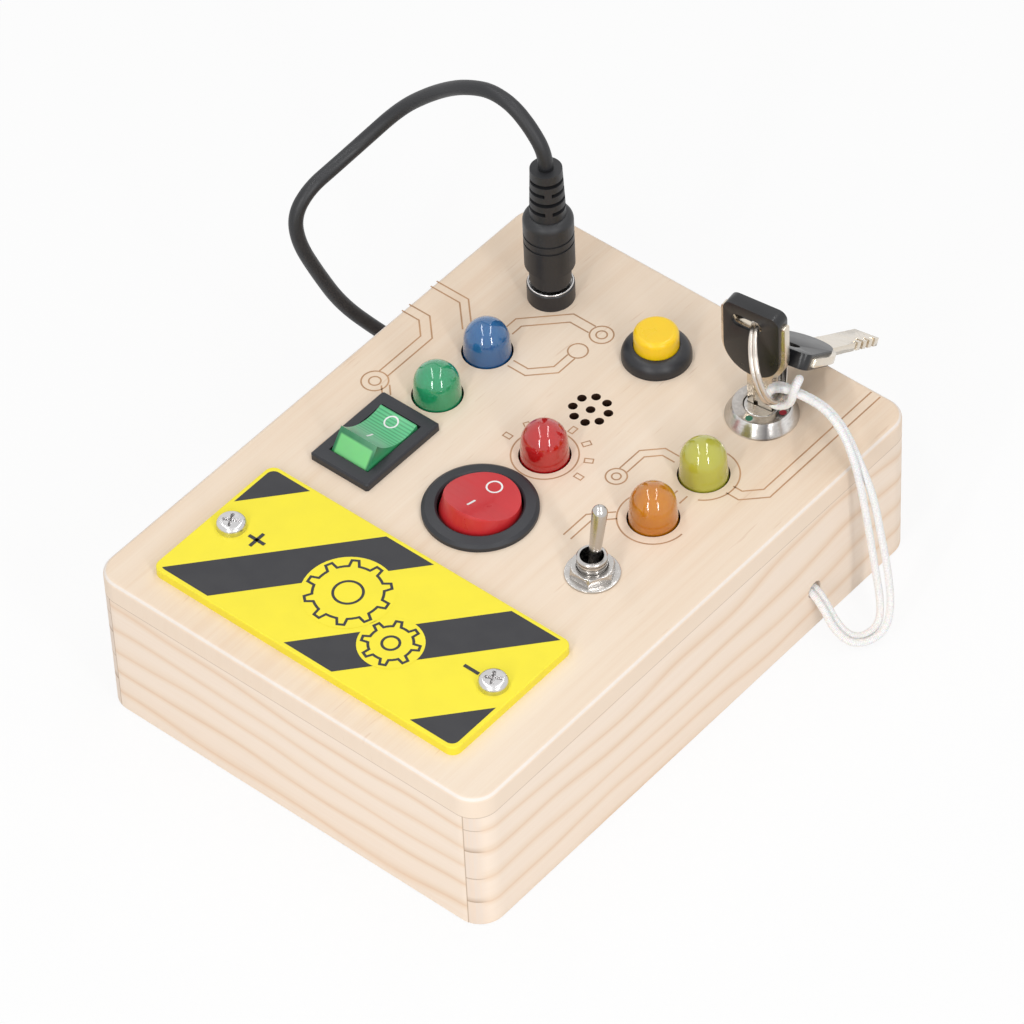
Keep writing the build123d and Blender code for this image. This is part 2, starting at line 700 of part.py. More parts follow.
GREEN_AXLE_L = GREEN_BODY_W - 2 * ROCKER_AXLE_END_GAP
GREEN_PADDLE_W = GREEN_OPENING_W - 2 * ROCKER_SIDE_GAP
GREEN_HALF_OPENING = GREEN_OPENING_L / 2
GREEN_MIDDLE_REACH = rocker_reach(GREEN_HALF_OPENING, 0, GREEN_TILT)
GREEN_FOOT_REACH = rocker_reach(GREEN_HALF_OPENING, ROCKER_UNDER, GREEN_TILT)

with BuildPart() as green_housing:
    with BuildSketch(Plane.XY.offset(LID_TOP)) as green_bezel:
        with Locations(GREEN_ROCKER_AT):
            Rectangle(GREEN_BEZEL_W, GREEN_BEZEL_L)
        chamfer(green_bezel.vertices(), GREEN_BEZEL_CLIP)
    extrude(amount=GREEN_BEZEL_T)
    chamfer(green_housing.edges().group_by(Axis.Z)[-1], GREEN_BEZEL_EDGE)
    with BuildSketch(Plane.XY.offset(LID_TOP)):
        with Locations(GREEN_ROCKER_AT):
            Rectangle(GREEN_BODY_W, GREEN_BODY_L)
    extrude(amount=-ROCKER_BODY_DEPTH)
    with BuildSketch(Plane.XY.offset(LID_TOP)):
        with Locations(GREEN_ROCKER_AT):
            Rectangle(GREEN_BODY_W - 2 * ROCKER_SKIN, GREEN_BODY_L - 2 * ROCKER_SKIN)
    extrude(amount=ROCKER_SKIN - ROCKER_BODY_DEPTH, mode=Mode.SUBTRACT)
    with BuildSketch(Plane.XY.offset(LID_TOP)):
        with Locations(GREEN_ROCKER_AT):
            Rectangle(GREEN_OPENING_W, GREEN_OPENING_L)
    extrude(amount=GREEN_BEZEL_T, mode=Mode.SUBTRACT)
    axle_holes(GREEN_ROCKER_AT, GREEN_BODY_W)
keep(green_housing, "green_rocker_housing")

with BuildPart() as green_rocker:
    with BuildSketch(rocker_side(GREEN_ROCKER_AT, -GREEN_PADDLE_W / 2, GREEN_TILT)):
        with BuildLine():
            ThreePointArc(
                (-GREEN_CREST_REACH, GREEN_CREST),
                (0, GREEN_VALLEY),
                (GREEN_CREST_REACH, GREEN_CREST),
            )
            Polyline(
                (GREEN_CREST_REACH, GREEN_CREST),
                (GREEN_MIDDLE_REACH, 0),
                (GREEN_FOOT_REACH, -ROCKER_UNDER),
                (-GREEN_FOOT_REACH, -ROCKER_UNDER),
                (-GREEN_MIDDLE_REACH, 0),
                (-GREEN_CREST_REACH, GREEN_CREST),
            )
        make_face()
    extrude(amount=GREEN_PADDLE_W)
    axle(GREEN_ROCKER_AT, GREEN_AXLE_L, GREEN_TILT)
keep(green_rocker, "green_rocker")

RED_AXLE_L = RED_BODY_D - 2 * ROCKER_AXLE_END_GAP
RED_HALF_OPENING = RED_OPENING_D / 2
RED_X = RED_ROCKER_AT[0]

with BuildPart() as red_housing:
    with BuildSketch(Plane.XZ.offset(-RED_ROCKER_AT[1])):
        with BuildLine():
            Polyline(
                (RED_X, BODY_BOTTOM),
                (RED_X + RED_BODY_D / 2, BODY_BOTTOM),
                (RED_X + RED_BODY_D / 2, LID_TOP),
                (RED_X + RED_BEZEL_D / 2, LID_TOP),
                (RED_X + RED_BEZEL_D / 2, LID_TOP + RED_BEZEL_EDGE_H),
                (RED_X + RED_BEZEL_D / 2 - RED_BEZEL_RIM_W, LID_TOP + RED_BEZEL_RIM_H),
                (RED_X + RED_HALF_OPENING + RED_BEZEL_LIP_W, LID_TOP + RED_BEZEL_T),
                (RED_X + RED_HALF_OPENING, LID_TOP + RED_BEZEL_RIM_H),
                (RED_X + RED_HALF_OPENING, LID_TOP),
                (RED_X + RED_BODY_D / 2 - ROCKER_SKIN, LID_TOP),
                (RED_X + RED_BODY_D / 2 - ROCKER_SKIN, BODY_BOTTOM + ROCKER_SKIN),
                (RED_X, BODY_BOTTOM + ROCKER_SKIN),
                close=True,
            )
        make_face()
    revolve(axis=Axis((*RED_ROCKER_AT, 0), (0, 0, 1)))
    axle_holes(RED_ROCKER_AT, RED_BODY_D)
keep(red_housing, "red_rocker_housing")

RED_ALONG = rocker_along(RED_TILT)
RED_UP = Vector(0, -RED_ALONG.Z, RED_ALONG.Y)

with BuildPart() as red_rocker:
    with BuildSketch(Plane(origin=(*RED_ROCKER_AT, AXLE_Z), x_dir=(1, 0, 0), z_dir=-RED_ALONG)):
        with BuildLine():
            Polyline(
                (0, -ROCKER_UNDER),
                (rocker_reach(RED_HALF_OPENING, ROCKER_UNDER, RED_TILT), -ROCKER_UNDER),
                (rocker_reach(RED_HALF_OPENING, 0, RED_TILT) - RUNNING, 0),
                (rocker_reach(RED_HALF_OPENING, RED_CREST, RED_TILT), RED_CREST),
                (0, RED_CREST),
                close=True,
            )
        make_face()
    revolve(axis=Axis((*RED_ROCKER_AT, AXLE_Z), RED_UP))
    with BuildSketch(rocker_side(RED_ROCKER_AT, -RED_HALF_OPENING, RED_TILT)):
        with BuildLine():
            ThreePointArc((-RED_HALF_OPENING, RED_CREST), (0, RED_VALLEY), (RED_HALF_OPENING, RED_CREST))
            Polyline(
                (RED_HALF_OPENING, RED_CREST),
                (0, RED_CREST + RED_HALF_OPENING),
                (-RED_HALF_OPENING, RED_CREST),
            )
        make_face()
    extrude(amount=2 * RED_HALF_OPENING, mode=Mode.SUBTRACT)
    axle(RED_ROCKER_AT, RED_AXLE_L, RED_TILT)
keep(red_rocker, "red_rocker")

# ---------------------------------------------------------------- toggle switch
BUSH_TOP = LID_TOP + TOGGLE_BUSH_H
TOGGLE_PIVOT_Z = LID_TOP + TOGGLE_PIVOT_H

with BuildPart() as toggle_body:
    with BuildSketch(Plane.XY.offset(LID_UNDER)):
        with Locations(TOGGLE_AT):
            Rectangle(TOGGLE_BODY_W, TOGGLE_BODY_L)
    extrude(amount=-TOGGLE_BODY_H)
    with BuildSketch(Plane.XY.offset(LID_UNDER)):
        with Locations(TOGGLE_AT):
            Circle(TOGGLE_BORE_D / 2)
    extrude(amount=-TOGGLE_BODY_H / 3, mode=Mode.SUBTRACT)
keep(toggle_body, "toggle_body")

with BuildPart() as toggle_bush:
    with BuildSketch(Plane.XY.offset(LID_UNDER)):
        with Locations(TOGGLE_AT):
            Circle(TOGGLE_BUSH_D / 2)
    extrude(amount=BUSH_TOP - LID_UNDER)
    chamfer(toggle_bush.edges().group_by(Axis.Z)[-1], THREAD_DEPTH)
    groove_count = int((TOGGLE_BUSH_H - TOGGLE_WASHER_T - TOGGLE_NUT_T) / THREAD_PITCH)
    for turn in range(groove_count):
        with BuildSketch(Plane.XY.offset(BUSH_TOP - (turn + 1) * THREAD_PITCH)):
            with Locations(TOGGLE_AT):
                Circle(TOGGLE_BUSH_D / 2)
                Circle(TOGGLE_BUSH_D / 2 - THREAD_DEPTH, mode=Mode.SUBTRACT)
        extrude(amount=THREAD_PITCH / 3, mode=Mode.SUBTRACT)
    with BuildSketch(Plane.XY.offset(LID_UNDER)):
        with Locations(TOGGLE_AT):
            Circle(TOGGLE_BORE_D / 2)
    extrude(amount=BUSH_TOP - LID_UNDER, mode=Mode.SUBTRACT)
    with BuildSketch(Plane.YZ.offset(TOGGLE_AT[0] - TOGGLE_BUSH_D / 2)):
        with Locations((TOGGLE_AT[1], TOGGLE_PIVOT_Z)):
            Circle(TOGGLE_PIN_D / 2 + RUNNING)
    extrude(amount=TOGGLE_BUSH_D, mode=Mode.SUBTRACT)
keep(toggle_bush, "toggle_bushing")

with BuildPart() as toggle_washer:
    with BuildSketch(Plane.XY.offset(LID_TOP)):
        with Locations(TOGGLE_AT):
            Circle(TOGGLE_WASHER_D / 2)
            Circle(TOGGLE_BUSH_D / 2 + RUNNING, mode=Mode.SUBTRACT)
    extrude(amount=TOGGLE_WASHER_T)
keep(toggle_washer, "toggle_washer")

with BuildPart() as toggle_nut:
    with BuildSketch(Plane.XY.offset(LID_TOP + TOGGLE_WASHER_T)):
        with Locations(TOGGLE_AT):
            RegularPolygon(TOGGLE_NUT_AF / 2, 6, major_radius=False)
    extrude(amount=TOGGLE_NUT_T)
    with BuildSketch(Plane.XY.offset(LID_TOP + TOGGLE_WASHER_T)):
        with Locations(TOGGLE_AT):
            Circle(NUT_BEVEL_START * TOGGLE_NUT_AF / sqrt(3))
    extrude(amount=TOGGLE_NUT_T, taper=NUT_BEVEL, mode=Mode.INTERSECT)
    with BuildSketch(Plane.XY.offset(LID_TOP + TOGGLE_WASHER_T)):
        with Locations(TOGGLE_AT):
            Circle(TOGGLE_BUSH_D / 2 + RUNNING)
    extrude(amount=TOGGLE_NUT_T, mode=Mode.SUBTRACT)
keep(toggle_nut, "toggle_nut")

LEVER_PLANE = Plane(
    origin=(*TOGGLE_AT, TOGGLE_PIVOT_Z),
    x_dir=(1, 0, 0),
    z_dir=(0, -cos(radians(TOGGLE_LEAN)), sin(radians(TOGGLE_LEAN))),
)
LEVER_AXIS = Axis((*TOGGLE_AT, TOGGLE_PIVOT_Z),
                  (0, sin(radians(TOGGLE_LEAN)), cos(radians(TOGGLE_LEAN))))
with BuildPart() as lever:
    with BuildSketch(LEVER_PLANE):
        with BuildLine():
            Line((0, -TOGGLE_BALL_R), (0, TOGGLE_TIP_H))
            RadiusArc((0, TOGGLE_TIP_H), (TOGGLE_TIP_R, TOGGLE_TIP_H - TOGGLE_TIP_R), TOGGLE_TIP_R)
            Line((TOGGLE_TIP_R, TOGGLE_TIP_H - TOGGLE_TIP_R), (TOGGLE_LEVER_R, TOGGLE_BALL_R))
            Line((TOGGLE_LEVER_R, TOGGLE_BALL_R), (TOGGLE_BALL_R, 0))
            RadiusArc((TOGGLE_BALL_R, 0), (0, -TOGGLE_BALL_R), TOGGLE_BALL_R)
        make_face()
    revolve(axis=LEVER_AXIS)
    with BuildSketch(Plane.YZ.offset(TOGGLE_AT[0] - TOGGLE_PIN_L / 2)):
        with Locations((TOGGLE_AT[1], TOGGLE_PIVOT_Z)):
            Circle(TOGGLE_PIN_D / 2)
    extrude(amount=TOGGLE_PIN_L)
keep(lever, "toggle_lever")

# ---------------------------------------------------------------- push button
BUTTON_TOP = LID_TOP + BUTTON_CAP_TOP
BUTTON_FLOOR = LID_TOP - BUTTON_DEPTH
CAP_R = BUTTON_CAP_D / 2
BEZEL_BORE_R = CAP_R + 2 * RUNNING
FLANGE_TOP = LID_TOP - BUTTON_FLANGE_DROP
CHAMBER_TOP = FLANGE_TOP + BUTTON_STOP_GAP
CHAMBER_R = BUTTON_FLANGE_D / 2 + 2 * RUNNING
SPRING_TOP = FLANGE_TOP - BUTTON_FLANGE_T
SPRING_BOTTOM = BUTTON_FLOOR + BUTTON_FLOOR_T

with BuildPart() as button_bezel:
    with BuildSketch(Plane.XZ.offset(-BUTTON_AT[1])):
        with BuildLine():
            button_x = BUTTON_AT[0]
            edge_x = button_x + BUTTON_BEZEL_D / 2
            shoulder_in, shoulder_up = BUTTON_BEZEL_SHOULDER
            Polyline(
                (button_x + BEZEL_BORE_R, LID_TOP + BUTTON_BEZEL_H),
                (button_x + BEZEL_BORE_R, CHAMBER_TOP),
                (button_x + CHAMBER_R, CHAMBER_TOP),
                (button_x + CHAMBER_R, SPRING_BOTTOM),
                (button_x, SPRING_BOTTOM),
                (button_x, BUTTON_FLOOR),
                (button_x + BUTTON_NECK_D / 2, BUTTON_FLOOR),
                (button_x + BUTTON_NECK_D / 2, LID_TOP),
                (edge_x, LID_TOP),
                (edge_x, LID_TOP + BUTTON_BEZEL_EDGE_H),
            )
            ThreePointArc(
                (edge_x, LID_TOP + BUTTON_BEZEL_EDGE_H),
                (edge_x - shoulder_in, LID_TOP + shoulder_up),
                (button_x + BEZEL_BORE_R, LID_TOP + BUTTON_BEZEL_H),
            )
        make_face()
    revolve(axis=Axis((*BUTTON_AT, 0), (0, 0, 1)))
keep(button_bezel, "button_housing")

with BuildPart() as button_cap:
    with BuildSketch(Plane.XY.offset(FLANGE_TOP - BUTTON_FLANGE_T)):
        with Locations(BUTTON_AT):
            Circle(CAP_R)
    extrude(amount=BUTTON_TOP - FLANGE_TOP + BUTTON_FLANGE_T)
    fillet(button_cap.edges().group_by(Axis.Z)[-1], BUTTON_CAP_ROUND)
    with BuildSketch(Plane.XY.offset(FLANGE_TOP)):
        with Locations(BUTTON_AT):
            Circle(BUTTON_FLANGE_D / 2)
    extrude(amount=-BUTTON_FLANGE_T)
    with BuildSketch(Plane.XY.offset(SPRING_TOP)):
        with Locations(BUTTON_AT):
            Circle(BUTTON_STEM_D / 2)
    extrude(amount=-(SPRING_TOP - SPRING_BOTTOM - BUTTON_TRAVEL - SLIP))
keep(button_cap, "button_cap")

SPRING_H = SPRING_TOP - SPRING_BOTTOM
with BuildPart() as button_spring:
    with BuildLine() as coil:
        Helix(pitch=(SPRING_H - SPRING_WIRE_D) / SPRING_TURNS, height=SPRING_H - SPRING_WIRE_D,
              radius=(BUTTON_SPRING_D - SPRING_WIRE_D) / 2,
              center=(*BUTTON_AT, SPRING_BOTTOM + SPRING_WIRE_D / 2))
    with BuildSketch(Plane(origin=coil.line @ 0, z_dir=coil.line % 0)):
        Circle(SPRING_WIRE_D / 2)
    sweep(path=coil.line, is_frenet=True)
keep(button_spring, "button_spring")

# ---------------------------------------------------------------- key lock
LOCK_FLOOR = LID_TOP - LOCK_DEPTH
BEZEL_TOP = LID_TOP + LOCK_BEZEL_H
BARREL_R = BARREL_D / 2
BARREL_BOTTOM = LID_TOP - BARREL_DEPTH
KEY_DIR = (cos(radians(KEY_TURN)), sin(radians(KEY_TURN)), 0)
KEY_OUT = (sin(radians(KEY_TURN)), -cos(radians(KEY_TURN)), 0)
KEY_PLANE = Plane(origin=(*LOCK_AT, LID_TOP), x_dir=KEY_DIR, z_dir=KEY_OUT)

with BuildPart() as lock_housing:
    with BuildSketch(Plane.XZ.offset(-LOCK_AT[1])):
        with BuildLine():
            lock_x = LOCK_AT[0]
            Polyline(
                (lock_x + BARREL_R + BARREL_GAP, BEZEL_TOP),
                (lock_x + BARREL_R + BARREL_GAP, BARREL_BOTTOM - BARREL_GAP),
                (lock_x, BARREL_BOTTOM - BARREL_GAP),
                (lock_x, LOCK_FLOOR),
                (lock_x + LOCK_NECK_D / 2, LOCK_FLOOR),
                (lock_x + LOCK_NECK_D / 2, LID_TOP),
                (lock_x + LOCK_BEZEL_D / 2, LID_TOP),
                (lock_x + LOCK_BEZEL_D / 2, LID_TOP + LOCK_BEZEL_EDGE_H),
                (lock_x + LOCK_BEZEL_TOP_D / 2, BEZEL_TOP),
                close=True,
            )
        make_face()
    revolve(axis=Axis((*LOCK_AT, 0), (0, 0, 1)))
    with BuildSketch(Plane.XY.offset(BEZEL_TOP)):
        with Locations(LOCK_AT):
            for angle in (GREEN_DOT_ANGLE, RED_DOT_ANGLE):
                with PolarLocations(DOT_RADIUS, 1, start_angle=angle):
                    Circle(DOT_D / 2)
    extrude(amount=-DOT_T, mode=Mode.SUBTRACT)
keep(lock_housing, "lock_housing")

for name, angle in (("lock_dot_green", GREEN_DOT_ANGLE), ("lock_dot_red", RED_DOT_ANGLE)):
    with BuildPart() as dot:
        with BuildSketch(Plane.XY.offset(BEZEL_TOP - DOT_T)):
            with Locations(LOCK_AT):
                with PolarLocations(DOT_RADIUS, 1, start_angle=angle):
                    Circle(DOT_D / 2)
        extrude(amount=DOT_T)
    keep(dot, name)

with BuildPart() as barrel:
    with BuildSketch(Plane.XY.offset(BARREL_BOTTOM)):
        with Locations(LOCK_AT):
            Circle(BARREL_R)
    extrude(amount=BEZEL_TOP - BARREL_DROP - BARREL_BOTTOM)
    fillet(barrel.edges().group_by(Axis.Z)[-1], BARREL_ROUND)
    with BuildSketch(KEY_PLANE.offset(-KEY_METAL_T / 2 - KEY_SLOT_GAP)):
        with Locations((0, (KEY_BLADE_END_H + LOCK_BEZEL_H) / 2)):
            Rectangle(KEY_NECK_W + 2 * KEY_SLOT_GAP, LOCK_BEZEL_H - KEY_BLADE_END_H + 2 * KEY_SLOT_GAP)
    extrude(amount=KEY_METAL_T + 2 * KEY_SLOT_GAP, mode=Mode.SUBTRACT)
keep(barrel, "lock_barrel")


def key_outline(half, bottom_h, top_h, top_r):
    """Head outline: straight sides, a half round below and small rounds above."""
    left = KEY_HEAD_S - half
    right = KEY_HEAD_S + half
    centre_h = bottom_h + half
    shoulder_h = top_h - top_r
    bulge = top_r * (1 - cos(radians(45)))
    with BuildLine() as outline:
        Line((left, shoulder_h), (left, centre_h))
        ThreePointArc((left, centre_h), (KEY_HEAD_S, bottom_h), (right, centre_h))
        Line((right, centre_h), (right, shoulder_h))
        ThreePointArc((right, shoulder_h), (right - bulge, top_h - bulge), (right - top_r, top_h))
        Line((right - top_r, top_h), (left + top_r, top_h))
        ThreePointArc((left + top_r, top_h), (left + bulge, top_h - bulge), (left, shoulder_h))
    make_face(outline.edges())


def make_key(plane, metal_name, cover_name):
    """One key: metal bow with its blade, and the plastic cover on the bow."""
    rim_half = KEY_COVER_HALF + KEY_RIM
    rim_bottom = KEY_COVER_BOTTOM_H - KEY_RIM
    neck_top = rim_bottom + rim_half
    with BuildPart() as metal:
        with BuildSketch(plane.offset(-KEY_METAL_T / 2)):
            key_outline(rim_half, rim_bottom, KEY_RIM_TOP_H, KEY_RIM_TOP_R)
            with Locations((0, (neck_top + KEY_NECK_END_H) / 2)):
                Rectangle(KEY_NECK_W, neck_top - KEY_NECK_END_H)
            with Locations((0, (KEY_NECK_END_H + KEY_BLADE_END_H) / 2)):
                Rectangle(KEY_BLADE_W, KEY_NECK_END_H - KEY_BLADE_END_H)
            with Locations(KEY_SLOT_AT):
                Rectangle(KEY_SLOT_W, KEY_SLOT_H, mode=Mode.SUBTRACT)
        extrude(amount=KEY_METAL_T)
        with BuildSketch(plane.offset(KEY_METAL_T / 2)):
            with Locations((KEY_GROOVE_S, (KEY_GROOVE_TOP_H + KEY_BLADE_END_H) / 2)):
                SlotOverall(KEY_GROOVE_TOP_H - KEY_BLADE_END_H - KEY_GROOVE_W, KEY_GROOVE_W, rotation=90)
        extrude(amount=-KEY_GROOVE_DEPTH, mode=Mode.SUBTRACT)
        with BuildSketch(plane.offset(-KEY_METAL_T / 2)):
            for tooth, depth in enumerate(KEY_TOOTH_DEPTHS):
                tooth_h = KEY_BLADE_END_H + KEY_TOOTH_FIRST_H + KEY_TOOTH_PITCH * tooth
                with Locations((KEY_BLADE_W / 2, tooth_h)):
                    Rectangle(2 * depth, KEY_TOOTH_W)
        extrude(amount=KEY_METAL_T, mode=Mode.SUBTRACT)
    keep(metal, metal_name)
    with BuildPart() as cover:
        with BuildSketch(plane.offset(-KEY_COVER_T / 2)):
            key_outline(KEY_COVER_HALF, KEY_COVER_BOTTOM_H, KEY_TOP_H, KEY_TOP_R)
            with Locations(KEY_SLOT_AT):
                SlotOverall(KEY_SLOT_W, KEY_SLOT_H, mode=Mode.SUBTRACT)
        extrude(amount=KEY_COVER_T)
        with BuildSketch(plane.offset(-KEY_METAL_T / 2)):
            key_outline(rim_half, rim_bottom, KEY_RIM_TOP_H, KEY_RIM_TOP_R)
        extrude(amount=KEY_METAL_T, mode=Mode.SUBTRACT)
    keep(cover, cover_name)


make_key(KEY_PLANE, "key_blade", "key_cover")

# ---------------------------------------------------------------- key ring and knot
WIRE_IN_KEY = (KEY_SLOT_AT[0] + RING_IN_SLOT[0], KEY_SLOT_AT[1] + RING_IN_SLOT[1], 0)
RING_M = Vector(*RING_DOWN).normalized()
RING_N = RING_M.cross(Vector(*RING_OUT)).normalized()
RING_T = RING_N.cross(RING_M)
RING_CENTRE = KEY_PLANE.from_local_coords(Vector(*WIRE_IN_KEY)) + RING_M * RING_R
RING_AXIS = Axis(RING_CENTRE, RING_N)


def ring_direction(angle):
    """Unit vector from the ring's centre to the wire, angle from its lowest point."""
    return RING_M * cos(radians(angle)) + RING_T * sin(radians(angle))


def ring_section(angle):
    """Plane through the ring's axis: local x outward, local y along the axis."""
    outward = ring_direction(angle)
    return Plane(origin=RING_CENTRE, x_dir=outward, z_dir=outward.cross(RING_N))


with BuildPart() as ring:
    with BuildSketch(ring_section(0)):
        with Locations((RING_R, RING_WIRE / 2), (RING_R, -RING_WIRE / 2)):
            RectangleRounded(RING_WIRE, RING_TURN_H, RING_WIRE_ROUND)
    revolve(axis=RING_AXIS)
keep(ring, "key_ring")

TAIL_END = (Vector(*LANYARD_BACK[0]) + Vector(*LANYARD_FRONT[0])) / 2
TAIL_DIRECTION = (Vector(*LANYARD_FRONT[1]) - Vector(*LANYARD_FRONT[0])).normalized()

with BuildPart() as knot:
    with BuildSketch(ring_section(-KNOT_SPAN / 2)):
        with Locations((RING_R, 0)):
            Circle(KNOT_R)
    revolve(axis=RING_AXIS, revolution_arc=KNOT_SPAN)
    fillet(knot.edges().filter_by(GeomType.CIRCLE), KNOT_ROUND)
    with BuildSketch(Plane(origin=TAIL_END, z_dir=TAIL_DIRECTION)):
        Circle(KNOT_TAIL_R)
    extrude(amount=-KNOT_TAIL_L)
    with BuildSketch(ring_section(0)):
        with Locations((RING_R, 0)):
            Rectangle(RING_WIRE + 2 * KNOT_RING_GAP, 2 * RING_WIRE + 2 * KNOT_RING_GAP)
    revolve(axis=RING_AXIS, mode=Mode.SUBTRACT)
keep(knot, "lanyard_knot")

# ---------------------------------------------------------------- spare key
SPARE_S = Vector(cos(radians(SPARE_TURN)), sin(radians(SPARE_TURN)), 0)
SPARE_BACK = Vector(-SPARE_S.Y, SPARE_S.X, 0)
SPARE_H = Vector(0, 0, sin(radians(SPARE_SLOPE))) - SPARE_BACK * cos(radians(SPARE_SLOPE))
SPARE_N = SPARE_S.cross(SPARE_H)
SPARE_HANG = RING_CENTRE + ring_direction(SPARE_ON_RING) * RING_R
SPARE_ORIGIN = (SPARE_HANG - SPARE_S * (KEY_SLOT_AT[0] + SPARE_SHIFT[0])
                - SPARE_H * (KEY_SLOT_AT[1] + SPARE_SHIFT[1]))
SPARE_PLANE = Plane(origin=SPARE_ORIGIN, x_dir=SPARE_S, z_dir=SPARE_N)
make_key(SPARE_PLANE, "spare_key_blade", "spare_key_cover")

# ---------------------------------------------------------------- lanyard
strand_back = tube("lanyard_back", LANYARD_BACK, LANYARD_D)
keep(strand_back, "lanyard_back")
strand_front = tube("lanyard_front", LANYARD_FRONT, LANYARD_D)
keep(strand_front, "lanyard_front")

with BuildPart() as stop_knot:
    stop_face = BOARD_W / 2 - WALL_T - STOP_KNOT_GAP
    with BuildSketch(Plane.YZ.offset(stop_face)):
        with Locations(LANYARD_HOLE_AT):
            Circle(STOP_KNOT_R)
    extrude(amount=-STOP_KNOT_L)
    fillet(stop_knot.edges(), STOP_KNOT_ROUND)
keep(stop_knot, "lanyard_stop_knot")

# ---------------------------------------------------------------- charging socket
SOCKET_FLOOR = LID_TOP - SOCKET_DEPTH
SLEEVE_FOOT = LID_TOP + SOCKET_SLEEVE_H - SOCKET_LIP_T
SLEEVE_TOP = LID_TOP + SOCKET_SLEEVE_H

with BuildPart() as socket_collar:
    with BuildSketch(Plane.XY.offset(LID_TOP)):
        with Locations(SOCKET_AT):
            Circle(SOCKET_COLLAR_D / 2)
            Circle(SOCKET_THREAD_D / 2, mode=Mode.SUBTRACT)
    extrude(amount=SOCKET_COLLAR_H)
    chamfer(socket_collar.faces().sort_by(Axis.Z)[-1].outer_wire().edges(), SOCKET_COLLAR_EDGE)
    with BuildSketch(Plane.XY.offset(SLEEVE_FOOT)):
        with Locations(SOCKET_AT):
            Circle(SOCKET_SLEEVE_D / 2)
    extrude(amount=SOCKET_COLLAR_H, mode=Mode.SUBTRACT)
keep(socket_collar, "socket_collar")

with BuildPart() as socket_sleeve:
    with BuildSketch(Plane.XY.offset(SOCKET_FLOOR)):
        with Locations(SOCKET_AT):
            Circle(SOCKET_THREAD_D / 2)
    extrude(amount=SLEEVE_TOP - SOCKET_FLOOR)
    with BuildSketch(Plane.XY.offset(SLEEVE_FOOT)):
        with Locations(SOCKET_AT):
            Circle(SOCKET_SLEEVE_D / 2)
    extrude(amount=SOCKET_LIP_T)
    with BuildSketch(Plane.XY.offset(SOCKET_FLOOR + SOCKET_BASE_T)):
        with Locations(SOCKET_AT):
            Circle(SOCKET_BORE_D / 2)
    extrude(amount=SOCKET_DEPTH + SOCKET_SLEEVE_H, mode=Mode.SUBTRACT)
    with BuildSketch(Plane.XY.offset(SOCKET_FLOOR)):
        with Locations(SOCKET_AT):
            Circle(SOCKET_PIN_D / 2)
    extrude(amount=SOCKET_DEPTH)
keep(socket_sleeve, "socket_sleeve")

with BuildPart() as panel_nuts:
    with BuildSketch(Plane.XY.offset(LID_UNDER)):
        with Locations(BUTTON_AT):
            RegularPolygon(BUTTON_NUT_AF / 2, 6, major_radius=False)
            Circle(BUTTON_NECK_D / 2 + RUNNING, mode=Mode.SUBTRACT)
        with Locations(LOCK_AT):
            RegularPolygon(LOCK_NUT_AF / 2, 6, major_radius=False)
            Circle(LOCK_NECK_D / 2 + RUNNING, mode=Mode.SUBTRACT)
        with Locations(SOCKET_AT):
            RegularPolygon(SOCKET_NUT_AF / 2, 6, major_radius=False)
            Circle(SOCKET_THREAD_D / 2 + RUNNING, mode=Mode.SUBTRACT)
    extrude(amount=-PANEL_NUT_T)
keep(panel_nuts, "panel_nuts")

# ---------------------------------------------------------------- plug and its cable
PLUG_FOOT = LID_TOP + SOCKET_COLLAR_H + PLUG_GAP
PLUG_NOSE_Z = LID_TOP + PLUG_NOSE_TOP
PLUG_BODY_Z = LID_TOP + PLUG_BODY_TOP
RELIEF_Z = LID_TOP + RELIEF_TOP

with BuildPart() as plug_body:
    with BuildSketch(Plane.XY.offset(PLUG_FOOT)):
        with Locations(SOCKET_AT):
            Circle(PLUG_NOSE_D / 2)
    extrude(amount=PLUG_NOSE_Z - PLUG_FOOT)
    fillet(plug_body.edges().group_by(Axis.Z)[0], PLUG_NOSE_ROUND)
    with BuildSketch(Plane.XY.offset(PLUG_NOSE_Z)):
        with Locations(SOCKET_AT):
            Circle(PLUG_BODY_D / 2)
    extrude(amount=PLUG_BODY_Z - PLUG_NOSE_Z)
    fillet(plug_body.edges().group_by(Axis.Z)[-1], PLUG_SHOULDER_R)
    for groove_h in PLUG_GROOVES_AT:
        with BuildSketch(Plane.XY.offset(LID_TOP + groove_h)):
            with Locations(SOCKET_AT):
                Circle(PLUG_BODY_D / 2)
                Circle(PLUG_BODY_D / 2 - PLUG_GROOVE_DEPTH, mode=Mode.SUBTRACT)
        extrude(amount=PLUG_GROOVE_W, mode=Mode.SUBTRACT)
keep(plug_body, "plug_body")

with BuildPart() as plug_barrel:
    with BuildSketch(Plane.XY.offset(PLUG_FOOT)):
        with Locations(SOCKET_AT):
            Circle(PLUG_BARREL_D / 2)
            Circle(PLUG_BARREL_BORE_D / 2, mode=Mode.SUBTRACT)
    extrude(amount=-PLUG_BARREL_L)
keep(plug_barrel, "plug_barrel")

